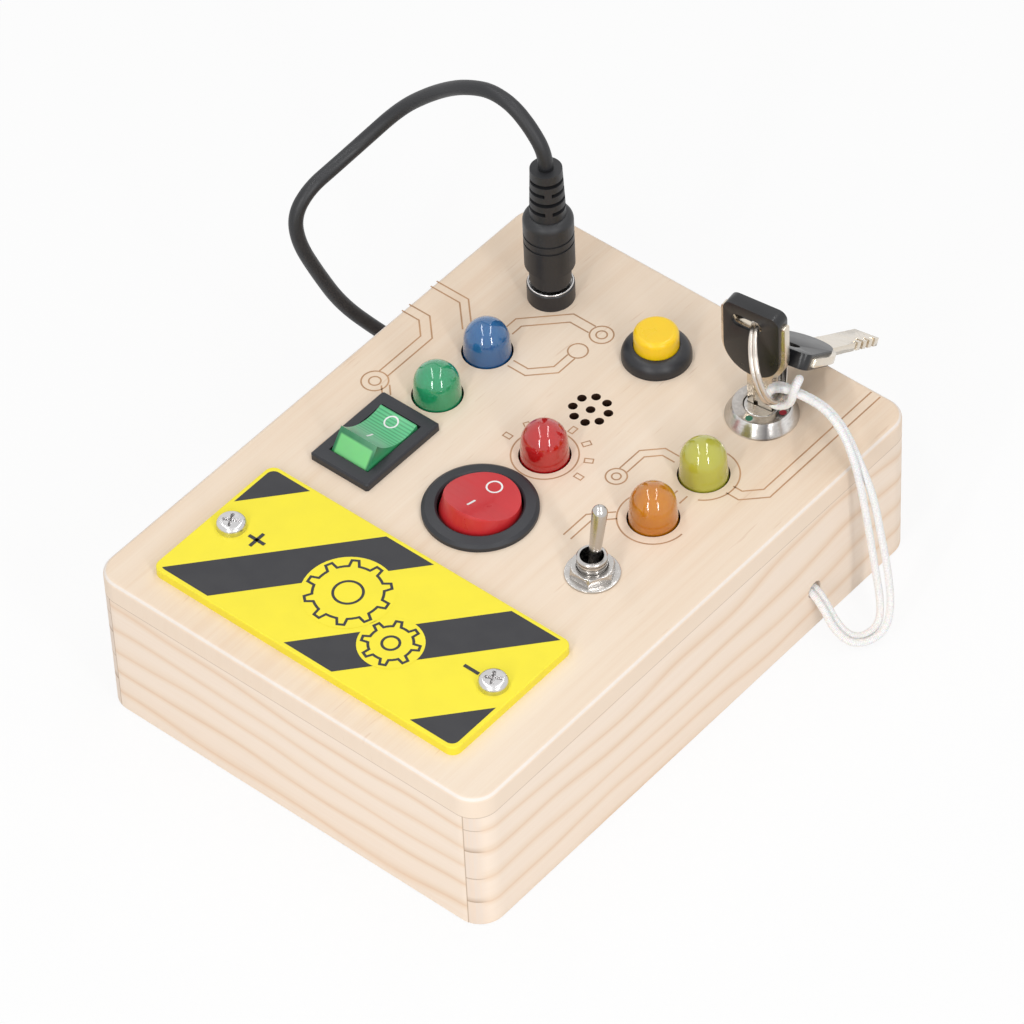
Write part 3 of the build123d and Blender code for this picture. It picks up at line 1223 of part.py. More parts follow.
with BuildPart() as plug_relief:
    with BuildSketch(Plane.XY.offset(PLUG_BODY_Z)):
        with Locations(SOCKET_AT):
            Circle(RELIEF_BOTTOM_D / 2)
    with BuildSketch(Plane.XY.offset(RELIEF_Z)):
        with Locations(SOCKET_AT):
            Circle(RELIEF_TOP_D / 2)
    loft()
    row_pitch = (RELIEF_TOP - PLUG_BODY_TOP) / (RELIEF_SLOT_ROWS + 1)
    for row in range(RELIEF_SLOT_ROWS):
        with BuildSketch(Plane.XY.offset(PLUG_BODY_Z + (row + 1) * row_pitch - RELIEF_SLOT_T / 2)):
            with Locations(SOCKET_AT):
                Circle(RELIEF_BOTTOM_D)
                Circle(RELIEF_SLOT_CORE / 2, mode=Mode.SUBTRACT)
                Rectangle(RELIEF_WEB_W, 2 * RELIEF_BOTTOM_D, rotation=45 + 90 * (row % 2), mode=Mode.SUBTRACT)
        extrude(amount=RELIEF_SLOT_T, mode=Mode.SUBTRACT)
keep(plug_relief, "plug_strain_relief")

cable = tube("cable", CABLE, CABLE_D)
keep(cable, "cable")

with BuildPart() as grommet:
    with BuildSketch(Plane.YZ.offset(-BOARD_W / 2)):
        with Locations(GROMMET_AT):
            Circle(GROMMET_FLANGE_D / 2)
    extrude(amount=-GROMMET_FLANGE_T)
    with BuildSketch(Plane.YZ.offset(-BOARD_W / 2 + WALL_T)):
        with Locations(GROMMET_AT):
            Circle(GROMMET_FLANGE_D / 2)
    extrude(amount=GROMMET_FLANGE_T)
    fillet(grommet.edges().filter_by(GeomType.CIRCLE), GROMMET_ROUND)
    with BuildSketch(Plane.YZ.offset(-BOARD_W / 2)):
        with Locations(GROMMET_AT):
            Circle(GROMMET_HOLE_D / 2)
    extrude(amount=WALL_T)
    with BuildSketch(Plane.YZ.offset(-BOARD_W / 2 - GROMMET_FLANGE_T)):
        with Locations(GROMMET_AT):
            Circle(GROMMET_BORE_D / 2)
    extrude(amount=WALL_T + 2 * GROMMET_FLANGE_T, mode=Mode.SUBTRACT)
keep(grommet, "cable_grommet")

# ---------------------------------------------------------------- circuit board
PCB_Z = BASE_T + PCB_STANDOFF_H
PCB_TOP = PCB_Z + PCB_T

with BuildPart() as pcb:
    with BuildSketch(Plane.XY.offset(PCB_Z)):
        with Locations(PCB_AT):
            RectangleRounded(PCB_W, PCB_L, PCB_SCREW_D)
            with GridLocations(*PCB_SCREW_PITCH, 2, 2):
                Circle(PCB_SCREW_D / 2, mode=Mode.SUBTRACT)
    extrude(amount=PCB_T)
keep(pcb, "circuit_board")

with BuildPart() as standoffs:
    with BuildSketch(Plane.XY.offset(BASE_T)):
        with Locations(PCB_AT):
            with GridLocations(*PCB_SCREW_PITCH, 2, 2):
                Circle(PCB_STANDOFF_D / 2)
                Circle(PCB_SCREW_D / 2, mode=Mode.SUBTRACT)
    extrude(amount=PCB_STANDOFF_H)
keep(standoffs, "circuit_board_spacers")

with BuildPart() as screws:
    with BuildSketch():
        with GridLocations(BLOCK_PITCH_X, BLOCK_PITCH_Y, 2, 2):
            Circle(BASE_SCREW_D / 2)
    extrude(amount=BASE_SCREW_L)
    with GridLocations(BLOCK_PITCH_X, BLOCK_PITCH_Y, 2, 2):
        Cone(BASE_SCREW_HEAD_D / 2, BASE_SCREW_D / 2, (BASE_SCREW_HEAD_D - BASE_SCREW_D) / 2,
             align=(Align.CENTER, Align.CENTER, Align.MIN))
    with BuildSketch(Plane.XY.offset(BASE_T - COVER_T)):
        with Locations(BOSS_AT):
            Circle(COVER_SCREW_HEAD_D / 2)
    extrude(amount=COVER_SCREW_HEAD_H)
    with BuildSketch(Plane.XY.offset(BASE_T - COVER_T)):
        with Locations(BOSS_AT):
            Circle(COVER_SCREW_D / 2)
    extrude(amount=COVER_T + COVER_SCREW_L)
    with BuildSketch():
        with GridLocations(BLOCK_PITCH_X, BLOCK_PITCH_Y, 2, 2):
            Rectangle(DRIVER_ARM_L, DRIVER_ARM_W)
            Rectangle(DRIVER_ARM_W, DRIVER_ARM_L)
    extrude(amount=DRIVER_DEPTH, taper=DRIVER_TAPER, mode=Mode.SUBTRACT)
    with BuildSketch(Plane.XY.offset(BASE_T - COVER_T)):
        with Locations(BOSS_AT):
            Rectangle(DRIVER_ARM_L, DRIVER_ARM_W)
            Rectangle(DRIVER_ARM_W, DRIVER_ARM_L)
    extrude(amount=DRIVER_DEPTH, mode=Mode.SUBTRACT)
    with BuildSketch(Plane.XY.offset(BASE_T)):
        with Locations(PCB_AT):
            with GridLocations(*PCB_SCREW_PITCH, 2, 2):
                Circle(PCB_SCREW_D / 2)
    extrude(amount=PCB_STANDOFF_H + PCB_T)
    with BuildSketch(Plane.XY.offset(PCB_TOP)):
        with Locations(PCB_AT):
            with GridLocations(*PCB_SCREW_PITCH, 2, 2):
                Circle(PCB_SCREW_HEAD_D / 2)
    extrude(amount=PCB_SCREW_HEAD_H)
keep(screws, "base_screws")

with BuildPart() as chips:
    with BuildSketch(Plane.XY.offset(PCB_TOP)):
        with Locations(CHIP_AT):
            Rectangle(CHIP_W, CHIP_L)
    extrude(amount=CHIP_T)
    with BuildSketch(Plane.XY.offset(PCB_TOP)):
        with Locations((CABLE[0][0] + CABLE_BLOCK_L / 2, CABLE[0][1])):
            Rectangle(CABLE_BLOCK_L, CABLE_BLOCK_W)
    extrude(amount=CABLE_BLOCK_H)
keep(chips, "circuit_board_parts")


def terminal_pair(at, z, pitch, along_x=True):
    """Two wire ends under a component."""
    shift = pitch / 2
    if along_x:
        return [(at[0] - shift, at[1], z), (at[0] + shift, at[1], z)]
    return [(at[0], at[1] - shift, z), (at[0], at[1] + shift, z)]


def drop_wire(start, lean):
    """Route straight down, across by the lean, and straight down to the board."""
    third = (start[2] - PCB_TOP) / 3
    foot = (start[0] + lean[0] * third, start[1] + lean[1] * third)
    return [
        start,
        (start[0], start[1], start[2] - third),
        (foot[0], foot[1], PCB_TOP + third),
        (foot[0], foot[1], PCB_TOP),
    ]


def wire_bundle(name, starts, leans):
    """Wires from the components down to the circuit board, as one sub-part."""
    with BuildPart() as bundle:
        for start, lean in zip(starts, leans):
            points = drop_wire(start, lean)
            with BuildLine() as route:
                FilletPolyline(*points, radius=arc_radii(points))
            with BuildSketch(Plane(origin=route.line @ 0, z_dir=route.line % 0)) as section:
                Circle(WIRE_D / 2)
            sweep(section.sketch, path=route.line)
    keep(bundle, name)


LEG_TOP = LID_UNDER - LAMP_FLANGE_T
BUZZER_FOOT = LID_UNDER - BUZZER_H
TOGGLE_FOOT = LID_UNDER - TOGGLE_BODY_H

with BuildPart() as terminals:
    with BuildSketch(Plane.XY.offset(LEG_TOP)):
        with Locations(*LAMPS_AT.values()):
            with GridLocations(LAMP_LEG_PITCH, 0, 2, 1):
                Circle(LAMP_LEG_D / 2)
    extrude(amount=-LAMP_LEG_L)
    with BuildSketch(Plane.XY.offset(BODY_BOTTOM)):
        with Locations(GREEN_ROCKER_AT, RED_ROCKER_AT):
            with GridLocations(0, TAB_PITCH, 1, 2):
                Rectangle(TAB_W, TAB_T)
    extrude(amount=-TAB_L)
    with BuildSketch(Plane.XY.offset(TOGGLE_FOOT)):
        with Locations(TOGGLE_AT):
            with GridLocations(0, TOGGLE_TAB_PITCH, 1, 3):
                Rectangle(TAB_W / 2, TAB_T)
    extrude(amount=-TOGGLE_TAB_L)
    with BuildSketch(Plane.XY.offset(BUZZER_FOOT)):
        with Locations(SOUND_AT):
            with GridLocations(TAB_PITCH, 0, 2, 1):
                Circle(LAMP_LEG_D / 2)
    extrude(amount=-BUZZER_LEG_L)
    with BuildSketch(Plane.XY.offset(BUTTON_FLOOR)):
        with Locations(BUTTON_AT):
            with GridLocations(TAB_W, 0, 2, 1):
                Rectangle(TAB_T, TAB_W / 2)
    extrude(amount=-BUTTON_TAB_L)
    with BuildSketch(Plane.XY.offset(LOCK_FLOOR)):
        with Locations(LOCK_AT):
            with GridLocations(TAB_PITCH, 0, 2, 1):
                Rectangle(TAB_T, TAB_W / 2)
    extrude(amount=PCB_TOP - LOCK_FLOOR)
keep(terminals, "terminals")

TAB_FOOT = BODY_BOTTOM - TAB_L
LEG_FOOT = LEG_TOP - LAMP_LEG_L
pairs = [terminal_pair(at, LEG_FOOT, LAMP_LEG_PITCH) for at in LAMPS_AT.values()]
leans = [(0.3, 0.2) for _ in LAMPS_AT]
pairs += [terminal_pair(GREEN_ROCKER_AT, TAB_FOOT, TAB_PITCH, along_x=False)]
pairs += [terminal_pair(RED_ROCKER_AT, TAB_FOOT, TAB_PITCH, along_x=False)]
pairs += [terminal_pair(TOGGLE_AT, TOGGLE_FOOT - TOGGLE_TAB_L, 2 * TOGGLE_TAB_PITCH, along_x=False)]
pairs += [terminal_pair(SOUND_AT, BUZZER_FOOT - BUZZER_LEG_L, TAB_PITCH)]
pairs += [terminal_pair(BUTTON_AT, BUTTON_FLOOR - BUTTON_TAB_L, TAB_W)]
pairs += [terminal_pair(SOCKET_AT, SOCKET_FLOOR, SOCKET_PIN_D)]
leans += [(0.3, 0.4), (0.4, 0.3), (-0.4, 0.3), (0.3, -0.4), (0.4, -0.2), (0.3, -0.4)]
wire_bundle("wires_red", [pair[0] for pair in pairs], leans)
wire_bundle("wires_black", [pair[1] for pair in pairs], leans)
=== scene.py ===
"""Looks of the wooden busy board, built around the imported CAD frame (Blender 4.5)."""

import math

import bpy
from mathutils import Matrix, Vector
from mathutils.bvhtree import BVHTree


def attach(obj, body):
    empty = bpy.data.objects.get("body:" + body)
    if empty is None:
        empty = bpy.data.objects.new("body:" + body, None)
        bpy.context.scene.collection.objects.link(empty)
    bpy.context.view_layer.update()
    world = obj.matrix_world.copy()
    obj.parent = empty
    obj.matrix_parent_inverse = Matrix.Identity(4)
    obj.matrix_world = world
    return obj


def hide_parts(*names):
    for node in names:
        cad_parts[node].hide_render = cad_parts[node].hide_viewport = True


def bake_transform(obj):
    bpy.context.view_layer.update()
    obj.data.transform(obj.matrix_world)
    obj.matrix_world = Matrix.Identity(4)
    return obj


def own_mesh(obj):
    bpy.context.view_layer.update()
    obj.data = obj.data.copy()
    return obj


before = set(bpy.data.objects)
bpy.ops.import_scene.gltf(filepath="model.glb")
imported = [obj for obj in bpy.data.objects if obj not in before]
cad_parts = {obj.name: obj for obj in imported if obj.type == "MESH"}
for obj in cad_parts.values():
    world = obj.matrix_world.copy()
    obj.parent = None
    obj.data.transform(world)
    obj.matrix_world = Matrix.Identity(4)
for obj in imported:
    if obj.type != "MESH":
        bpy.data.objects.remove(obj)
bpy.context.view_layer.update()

MM = 0.001

# ---- sizes shared with the CAD, in mm
BOARD_W = 96.0
BOARD_L = 130.0
LID_TOP = 35.0
LID_UNDER = 30.0
WALL_T = 4.0
PLATE_AT = (-0.9, -41.0)
PLATE_W = 75.2
PLATE_L = 34.3
PLATE_R = 2.0
PLATE_TOP = LID_TOP + 2.0
GREEN_ROCKER_AT = (-27.8, -6.1)
RED_ROCKER_AT = (-0.6, -6.85)
RED_LAMP_AT = (-0.3, 11.9)
AMBER_LAMP_AT = (26.65, 11.85)
LIME_LAMP_AT = (26.9, 26.75)
SOCKET_AT = (-27.5, 46.35)
SOCKET_TOP = LID_TOP + 4.0
CABLE_D = 3.0
LANYARD_D = 1.5

# Control points of the cords' routes, the same as in the CAD source
CABLE = [
    (-31.0, 33.5, 13.3), (-41.5, 33.5, 13.3), (-53.0, 33.3, 13.8),
    (-60.0, 30.2, 18.2), (-64.9, 25.4, 26.2), (-67.8, 22.2, 35.8),
    (-70.0, 19.9, 44.2), (-71.2, 20.6, 50.4), (-70.6, 24.8, 54.8),
    (-69.8, 31.4, 56.2), (-68.1, 38.6, 59.0), (-63.5, 44.8, 65.8),
    (-57.0, 46.3, 72.0), (-50.4, 46.35, 77.4), (-45.2, 46.35, 80.3),
    (-40.6, 46.35, 81.9), (-35.4, 46.35, 81.2), (-31.0, 46.35, 77.8),
    (-27.5, 46.35, 73.0), (-27.5, 46.35, 69.3),
]
LANYARD_BACK = [
    (32.86, 47.27, 45.13), (38.46, 48.27, 44.93), (44.86, 47.07, 43.13),
    (49.5, 45.65, 38.6), (53.4, 45.4, 31.2), (55.8, 44.8, 22.6),
    (58.0, 44.3, 14.2), (59.8, 43.2, 7.0), (60.7, 40.8, 2.4),
    (59.8, 36.8, 1.2), (57.2, 33.6, 1.6), (53.6, 32.9, 4.2),
    (51.4, 33.0, 7.6), (48.6, 33.3, 10.0), (45.8, 33.4, 10.5),
    (43.9, 33.4, 10.5),
]
LANYARD_FRONT = [
    (33.14, 45.93, 46.07), (38.74, 46.93, 45.87), (45.14, 45.73, 44.07),
    (49.7, 44.15, 39.4), (52.2, 43.8, 31.0), (54.2, 43.4, 22.2),
    (56.0, 43.0, 13.8), (58.0, 42.2, 6.8), (58.9, 40.6, 2.4),
    (58.0, 37.3, 1.2), (56.2, 35.0, 1.8), (53.2, 34.5, 4.2),
    (51.0, 34.6, 7.4), (48.4, 34.9, 9.8), (45.7, 35.0, 10.4),
    (43.9, 35.0, 10.4),
]


def add_object(name, data):
    """A new object in the scene."""
    made = bpy.data.objects.new(name, data)
    bpy.context.scene.collection.objects.link(made)
    return made


# ---- camera
CAMERA_AT = (0.54959, -0.60355, 0.87836)
CAMERA_AZIMUTH = math.radians(42.256)
CAMERA_ELEVATION = math.radians(46.139)
CAMERA_ROLL = math.radians(-2.899)
CAMERA_LENS = 216.0
CAMERA_SENSOR = 36.0
CAMERA_CLIP = (0.05, 20.0)


def camera_axes():
    """Right, up and back of the camera as unit vectors."""
    back = Vector((
        math.sin(CAMERA_AZIMUTH) * math.cos(CAMERA_ELEVATION),
        -math.cos(CAMERA_AZIMUTH) * math.cos(CAMERA_ELEVATION),
        math.sin(CAMERA_ELEVATION),
    ))
    level = Vector((math.cos(CAMERA_AZIMUTH), math.sin(CAMERA_AZIMUTH), 0.0))
    upward = back.cross(level)
    right = math.cos(CAMERA_ROLL) * level + math.sin(CAMERA_ROLL) * upward
    up = -math.sin(CAMERA_ROLL) * level + math.cos(CAMERA_ROLL) * upward
    return right, up, back


def add_camera():
    """The camera at the board's viewing angle."""
    right, up, back = camera_axes()
    data = bpy.data.cameras.new("camera")
    data.lens = CAMERA_LENS
    data.sensor_width = CAMERA_SENSOR
    data.clip_start, data.clip_end = CAMERA_CLIP
    camera = add_object("camera", data)
    rotation = Matrix((right, up, back)).transposed().to_4x4()
    camera.matrix_world = Matrix.Translation(CAMERA_AT) @ rotation
    bpy.context.scene.camera = camera


# ---- shader helpers
class Shader:
    """A material's node tree, with short calls for the nodes used here."""

    def __init__(self, name):
        self.material = bpy.data.materials.new(name)
        self.material.use_nodes = True
        self.tree = self.material.node_tree
        self.bsdf = self.tree.nodes["Principled BSDF"]
        where = self.add("ShaderNodeTexCoord")
        self.place = where.outputs["Object"]
        self.normal = where.outputs["Normal"]

    def add(self, kind, **settings):
        """A new node of a kind, with its settings."""
        node = self.tree.nodes.new(kind)
        for key, value in settings.items():
            setattr(node, key, value)
        return node

    def put(self, value, socket):
        """Links an output to a socket, or sets the socket to a value."""
        if isinstance(value, bpy.types.NodeSocket):
            self.tree.links.new(value, socket)
        else:
            socket.default_value = value

    def calc(self, operation, *values, clamp=False):
        """One step of arithmetic."""
        node = self.add("ShaderNodeMath", operation=operation, use_clamp=clamp)
        for value, socket in zip(values, node.inputs):
            self.put(value, socket)
        return node.outputs[0]

    def axes(self, vector):
        """The x, y and z of a vector."""
        node = self.add("ShaderNodeSeparateXYZ")
        self.put(vector, node.inputs[0])
        return node.outputs[0], node.outputs[1], node.outputs[2]

    def stretch(self, scale, offset=(0.0, 0.0, 0.0)):
        """The place on the object, scaled and moved along each axis."""
        node = self.add("ShaderNodeMapping")
        self.put(self.place, node.inputs["Vector"])
        node.inputs["Scale"].default_value = scale
        node.inputs["Location"].default_value = offset
        return node.outputs[0]

    def noise(self, vector, scale=1.0, detail=3.0):
        """Soft noise from 0 to 1."""
        node = self.add("ShaderNodeTexNoise")
        self.put(vector, node.inputs["Vector"])
        node.inputs["Scale"].default_value = scale
        node.inputs["Detail"].default_value = detail
        return node.outputs["Fac"]

    def span(self, value, low, high, to_low=0.0, to_high=1.0):
        """Smooth step from to_low to to_high as value goes from low to high."""
        node = self.add("ShaderNodeMapRange", interpolation_type="SMOOTHSTEP")
        for number, socket in zip((value, low, high, to_low, to_high), node.inputs):
            self.put(number, socket)
        return node.outputs[0]

    def ramp(self, factor, stops):
        """A colour from (position, colour) stops."""
        node = self.add("ShaderNodeValToRGB")
        self.put(factor, node.inputs[0])
        elements = node.color_ramp.elements
        while len(elements) < len(stops):
            elements.new(0.5)
        for element, (position, colour) in zip(elements, stops):
            element.position = position
            element.color = (*colour, 1.0)
        return node.outputs[0]

    def mix(self, factor, first, second):
        """A colour between two others."""
        node = self.add("ShaderNodeMix", data_type="RGBA")
        self.put(factor, node.inputs[0])
        for value, socket in ((first, node.inputs[6]), (second, node.inputs[7])):
            self.put(value if isinstance(value, bpy.types.NodeSocket) else (*value, 1.0), socket)
        return node.outputs[2]

    def bump(self, height, distance, strength):
        """Roughens the surface by a height."""
        node = self.add("ShaderNodeBump")
        node.inputs["Strength"].default_value = strength
        node.inputs["Distance"].default_value = distance
        self.put(height, node.inputs["Height"])
        self.put(node.outputs[0], self.bsdf.inputs["Normal"])

    def surface(self, **values):
        """Sets the Principled shader's sockets, each named in small letters joined by _."""
        sockets = {socket.name.lower().replace(" ", "_"): socket for socket in self.bsdf.inputs}
        for key, value in values.items():
            socket = sockets[key]
            if socket.type == "RGBA" and not isinstance(value, bpy.types.NodeSocket):
                value = (*value, 1.0)
            self.put(value, socket)


# ---- wood
# Veneer of the lid
WOOD_PALE = (0.885, 0.75, 0.61)
WOOD_MID = (0.85, 0.695, 0.545)
WOOD_WARM = (0.81, 0.63, 0.47)
WOOD_LINE = (0.66, 0.44, 0.29)
WOOD_SEAM = (0.42, 0.28, 0.18)
# Hole walls: burnt wood, darkened further by painted shade
WOOD_BURNT_AND_SHADE = (0.05, 0.022, 0.012)
# Painted highlight on the lid's rounded edges
WOOD_PAINTED_HIGHLIGHT = (0.90, 0.88, 0.88)
# Pine of the walls
PINE_PALE = (0.93, 0.785, 0.655)
PINE_MID = (0.905, 0.745, 0.60)
PINE_WARM = (0.875, 0.68, 0.515)
PINE_LINE = (0.80, 0.575, 0.40)
END_GRAIN = (0.82, 0.695, 0.595)
SEAM_HALF = 0.16 * MM
GRAIN_BUMP = 0.03 * MM
# Noise scales along x, y and z, in cells per metre
VENEER_CLOUD = (22.0, 9.0, 22.0)
VENEER_STREAK = (420.0, 16.0, 60.0)
VENEER_FIBRE = (2400.0, 60.0, 400.0)
VENEER_FLECK = (1100.0, 90.0, 300.0)
PINE_WANDER = {"x": (14.0, 0.5, 30.0), "y": (0.5, 14.0, 30.0)}
PINE_STREAK = {"x": (30.0, 300.0, 1400.0), "y": (300.0, 30.0, 1400.0)}
PINE_PORE = (2600.0, 300.0, 90.0)
PINE_WANDER_REACH = 12.0 * MM
# Colour across one year ring, and how strongly its dark line shows
RING_BODY = [(0.0, PINE_WARM), (0.12, PINE_MID), (0.40, PINE_PALE), (0.80, PINE_PALE),
             (1.0, PINE_WARM)]
RING_LINE = [(0.0, 0.95), (0.07, 0.45), (0.24, 0.0), (0.95, 0.0), (1.0, 0.95)]


def seam(shader, colour, coordinate, position):
    """Darkens a fine line where two boards meet, at a position along a coordinate."""
    distance = shader.calc("ABSOLUTE", shader.calc("SUBTRACT", coordinate, position))
    mask = shader.span(distance, 0.2 * SEAM_HALF, SEAM_HALF, 0.75, 0.0)
    return shader.mix(mask, colour, WOOD_SEAM)


def lid_wood():
    """Pale birch-like face veneer with a fine straight grain along Y, a painted highlight on its
    rounded edges, and hole walls that are burnt and darkened further by painted shade.
    """
    shader = Shader("wood_lid")
    cloud = shader.noise(shader.stretch(VENEER_CLOUD), detail=2.0)
    streak = shader.noise(shader.stretch(VENEER_STREAK))
    fibre = shader.noise(shader.stretch(VENEER_FIBRE), detail=2.0)
    tone = shader.calc("MULTIPLY_ADD", cloud, 0.55, shader.calc("MULTIPLY", streak, 0.30))
    tone = shader.calc("MULTIPLY_ADD", fibre, 0.15, tone)
    colour = shader.ramp(tone, [(0.36, WOOD_WARM), (0.48, WOOD_MID), (0.62, WOOD_PALE)])
    fleck = shader.noise(shader.stretch(VENEER_FLECK, offset=(3.0, 1.0, 0.0)), detail=1.0)
    colour = shader.mix(shader.span(fleck, 0.70, 0.78, 0.0, 0.35), colour, WOOD_LINE)
    x, y, z = shader.axes(shader.place)
    nz = shader.axes(shader.normal)[2]
    colour = seam(shader, colour, z, LID_UNDER * MM)
    # Painted highlight along the rounded edges, where the surface turns from level to upright
    painted_edge_highlight = shader.calc("MULTIPLY", shader.span(nz, 0.40, 0.60, 0.0, 0.55),
                           shader.span(nz, 0.85, 0.96, 1.0, 0.0))
    colour = shader.mix(painted_edge_highlight, colour, WOOD_PAINTED_HIGHLIGHT)
    upright = shader.calc("LESS_THAN", shader.calc("ABSOLUTE", nz), 0.5)
    across, along = [
        shader.calc("LESS_THAN", shader.calc("ABSOLUTE", place), (size / 2 - WALL_T) * MM)
        for place, size in ((x, BOARD_W), (y, BOARD_L))
    ]
    middle = shader.calc("MULTIPLY", across, along)
    outer_edge = shader.calc("SUBTRACT", upright, middle, clamp=True)
    colour = shader.mix(shader.calc("MULTIPLY", outer_edge, 0.65), colour, PINE_MID)
    # Upright faces inside the lid, the hole walls: burnt, with painted shade in the holes
    colour = shader.mix(shader.calc("MULTIPLY", upright, middle), colour, WOOD_BURNT_AND_SHADE)
    shader.surface(base_color=colour, roughness=0.58, ior=1.45)
    shader.bump(fibre, GRAIN_BUMP, 0.5)
    return shader.material


def end_grain(shader, colour, line, ring_number):
    """Pores and every second ring line, dark, on the faces that look along Y."""
    facing = shader.span(shader.calc("ABSOLUTE", shader.axes(shader.normal)[1]), 0.45, 0.85)
    pore = shader.noise(shader.stretch(PINE_PORE), detail=2.0)
    shade = shader.mix(shader.span(pore, 0.35, 0.7, 0.0, 0.4), END_GRAIN, PINE_WARM)
    odd = shader.calc("FRACT", shader.calc("MULTIPLY", ring_number, 0.5))
    odd = shader.calc("MULTIPLY", odd, 2.0)
    dark_line = shader.calc("MULTIPLY", line, shader.calc("SUBTRACT", 1.0, odd))
    return shader.mix(facing, colour, shader.mix(dark_line, shade, WOOD_SEAM))


def wall_wood(name, along, seed, first_line, line_pitch, slope):
    """Pine wall along an axis, its year rings as lines: first line's height and pitch in mm."""
    shader = Shader(name)
    x, y, z = shader.axes(shader.place)
    wander = shader.noise(shader.stretch(PINE_WANDER[along], offset=(seed, seed, 0.0)), detail=2.0)
    wander = shader.calc("MULTIPLY", shader.calc("SUBTRACT", wander, 0.5), PINE_WANDER_REACH)
    lean = shader.calc("MULTIPLY_ADD", x if along == "x" else y, slope, wander)
    height = shader.calc("SUBTRACT", shader.calc("ADD", z, lean), first_line * MM)
    rings = shader.calc("DIVIDE", height, line_pitch * MM)
    phase = shader.calc("FRACT", rings)
    ring_number = shader.calc("FLOOR", rings)
    pick = shader.add("ShaderNodeTexWhiteNoise", noise_dimensions="1D")
    shader.put(shader.calc("ADD", ring_number, seed), pick.inputs["W"])
    weight = shader.span(pick.outputs["Value"], 0.0, 1.0, 0.35, 1.0)
    line = shader.ramp(phase, [(position, (level,) * 3) for position, level in RING_LINE])
    streak = shader.noise(shader.stretch(PINE_STREAK[along]))
    break_up = shader.span(streak, 0.30, 0.60, 0.45, 1.0)
    mask = shader.calc("MULTIPLY", shader.calc("MULTIPLY", line, weight), break_up)
    colour = shader.mix(mask, shader.ramp(phase, RING_BODY), PINE_LINE)
    colour = shader.mix(shader.span(streak, 0.35, 0.75, 0.0, 0.18), colour, PINE_WARM)
    if along == "y":
        colour = end_grain(shader, colour, line, ring_number)
    colour = seam(shader, colour, shader.calc("ABSOLUTE", x), (BOARD_W / 2 - WALL_T) * MM)
    colour = seam(shader, colour, z, LID_UNDER * MM)
    shader.surface(base_color=colour, roughness=0.6, ior=1.45)
    shader.bump(streak, GRAIN_BUMP, 0.5)
    return shader.material


# ---- plastics, metals and the rest
def moulded(name, colour, roughness, grain=0.02, tone=0.12, **more):
    """Moulded plastic: a slightly uneven tone and a fine moulded texture."""
    shader = Shader(name)
    patch = shader.noise(shader.place, scale=160.0, detail=3.0)
    grainy = shader.noise(shader.place, scale=5200.0, detail=1.0)
    darker = tuple(channel * (1.0 - tone) for channel in colour)
    lighter = tuple(min(channel * (1.0 + tone), 1.0) for channel in colour)
    shade = shader.ramp(patch, [(0.3, darker), (0.7, lighter)])
    rough = shader.span(patch, 0.3, 0.7, roughness * 0.9, roughness * 1.15)
    shader.surface(base_color=shade, roughness=rough, **more)
    shader.bump(grainy, grain * MM, 0.35)
    return shader.material


def metal(name, colour, roughness):
    """Plated or turned metal, with faint wear in its gloss."""
    shader = Shader(name)
    wear = shader.noise(shader.place, scale=420.0, detail=4.0)
    fine = shader.noise(shader.stretch((2400.0, 2400.0, 240.0)), detail=2.0)
    darker = tuple(channel * 0.93 for channel in colour)
    shade = shader.ramp(wear, [(0.35, darker), (0.65, colour)])
    rough = shader.span(wear, 0.3, 0.75, roughness * 0.75, roughness * 1.25)
    shader.surface(base_color=shade, metallic=1.0, roughness=rough)
    shader.bump(fine, 0.004 * MM, 0.3)
    return shader.material


# Painted reflection: shades round a turned part, from half a turn behind X and back to it
TURNED_PAINTED_REFLECTION = [
    (0.0, (0.40, 0.38, 0.36)), (0.18, (0.62, 0.60, 0.58)), (0.28, (0.78, 0.76, 0.74)),
    (0.335, (0.50, 0.48, 0.46)), (0.375, (0.16, 0.15, 0.15)), (0.42, (0.44, 0.42, 0.40)),
    (0.48, (0.78, 0.76, 0.74)), (0.60, (0.45, 0.43, 0.41)), (1.0, (0.40, 0.38, 0.36)),
]
TURNED_LEVEL = (0.52, 0.49, 0.46)
TURNED_LINE = (0.22, 0.21, 0.20)


def turned_metal():
    """Turned and polished metal: a painted reflection of light and dark lobes round its axis, over
    fine turning lines.
    """
    shader = Shader("turned_chrome")
    nx, ny, nz = shader.axes(shader.normal)
    turn = shader.calc("ARCTAN2", ny, nx)
    # Painted reflection by which way the surface faces round the axis, darkest where it faces the
    # camera
    lobes = shader.ramp(shader.calc("MULTIPLY_ADD", turn, 0.5 / math.pi, 0.5), TURNED_PAINTED_REFLECTION)
    # Level faces take one plain shade instead of the painted reflection
    level = shader.calc("GREATER_THAN", nz, 0.9)
    shade = shader.mix(level, lobes, TURNED_LEVEL)
    fine = shader.noise(shader.stretch((900.0, 900.0, 9000.0)), detail=2.0)
    shade = shader.mix(shader.span(fine, 0.35, 0.7, 0.0, 0.25), shade, TURNED_LINE)
    shader.surface(base_color=shade, metallic=1.0, roughness=0.24)
    shader.bump(fine, 0.006 * MM, 0.4)
    return shader.material


LAMP_RISE = 8.0  # mm above the lid over which a dome grows lighter
# Signal lamps: the dome's colour high up and its darker colour low down
LAMP_SHADES = {
    "lamp_green": ((0.035, 0.42, 0.19), (0.014, 0.30, 0.12)),
    "lamp_blue": ((0.035, 0.175, 0.42), (0.014, 0.105, 0.30)),
    "lamp_red": ((0.60, 0.012, 0.012), (0.50, 0.006, 0.007)),
    "lamp_amber": ((0.70, 0.265, 0.005), (0.55, 0.17, 0.003)),
    "lamp_lime": ((0.60, 0.58, 0.075), (0.46, 0.45, 0.045)),
}


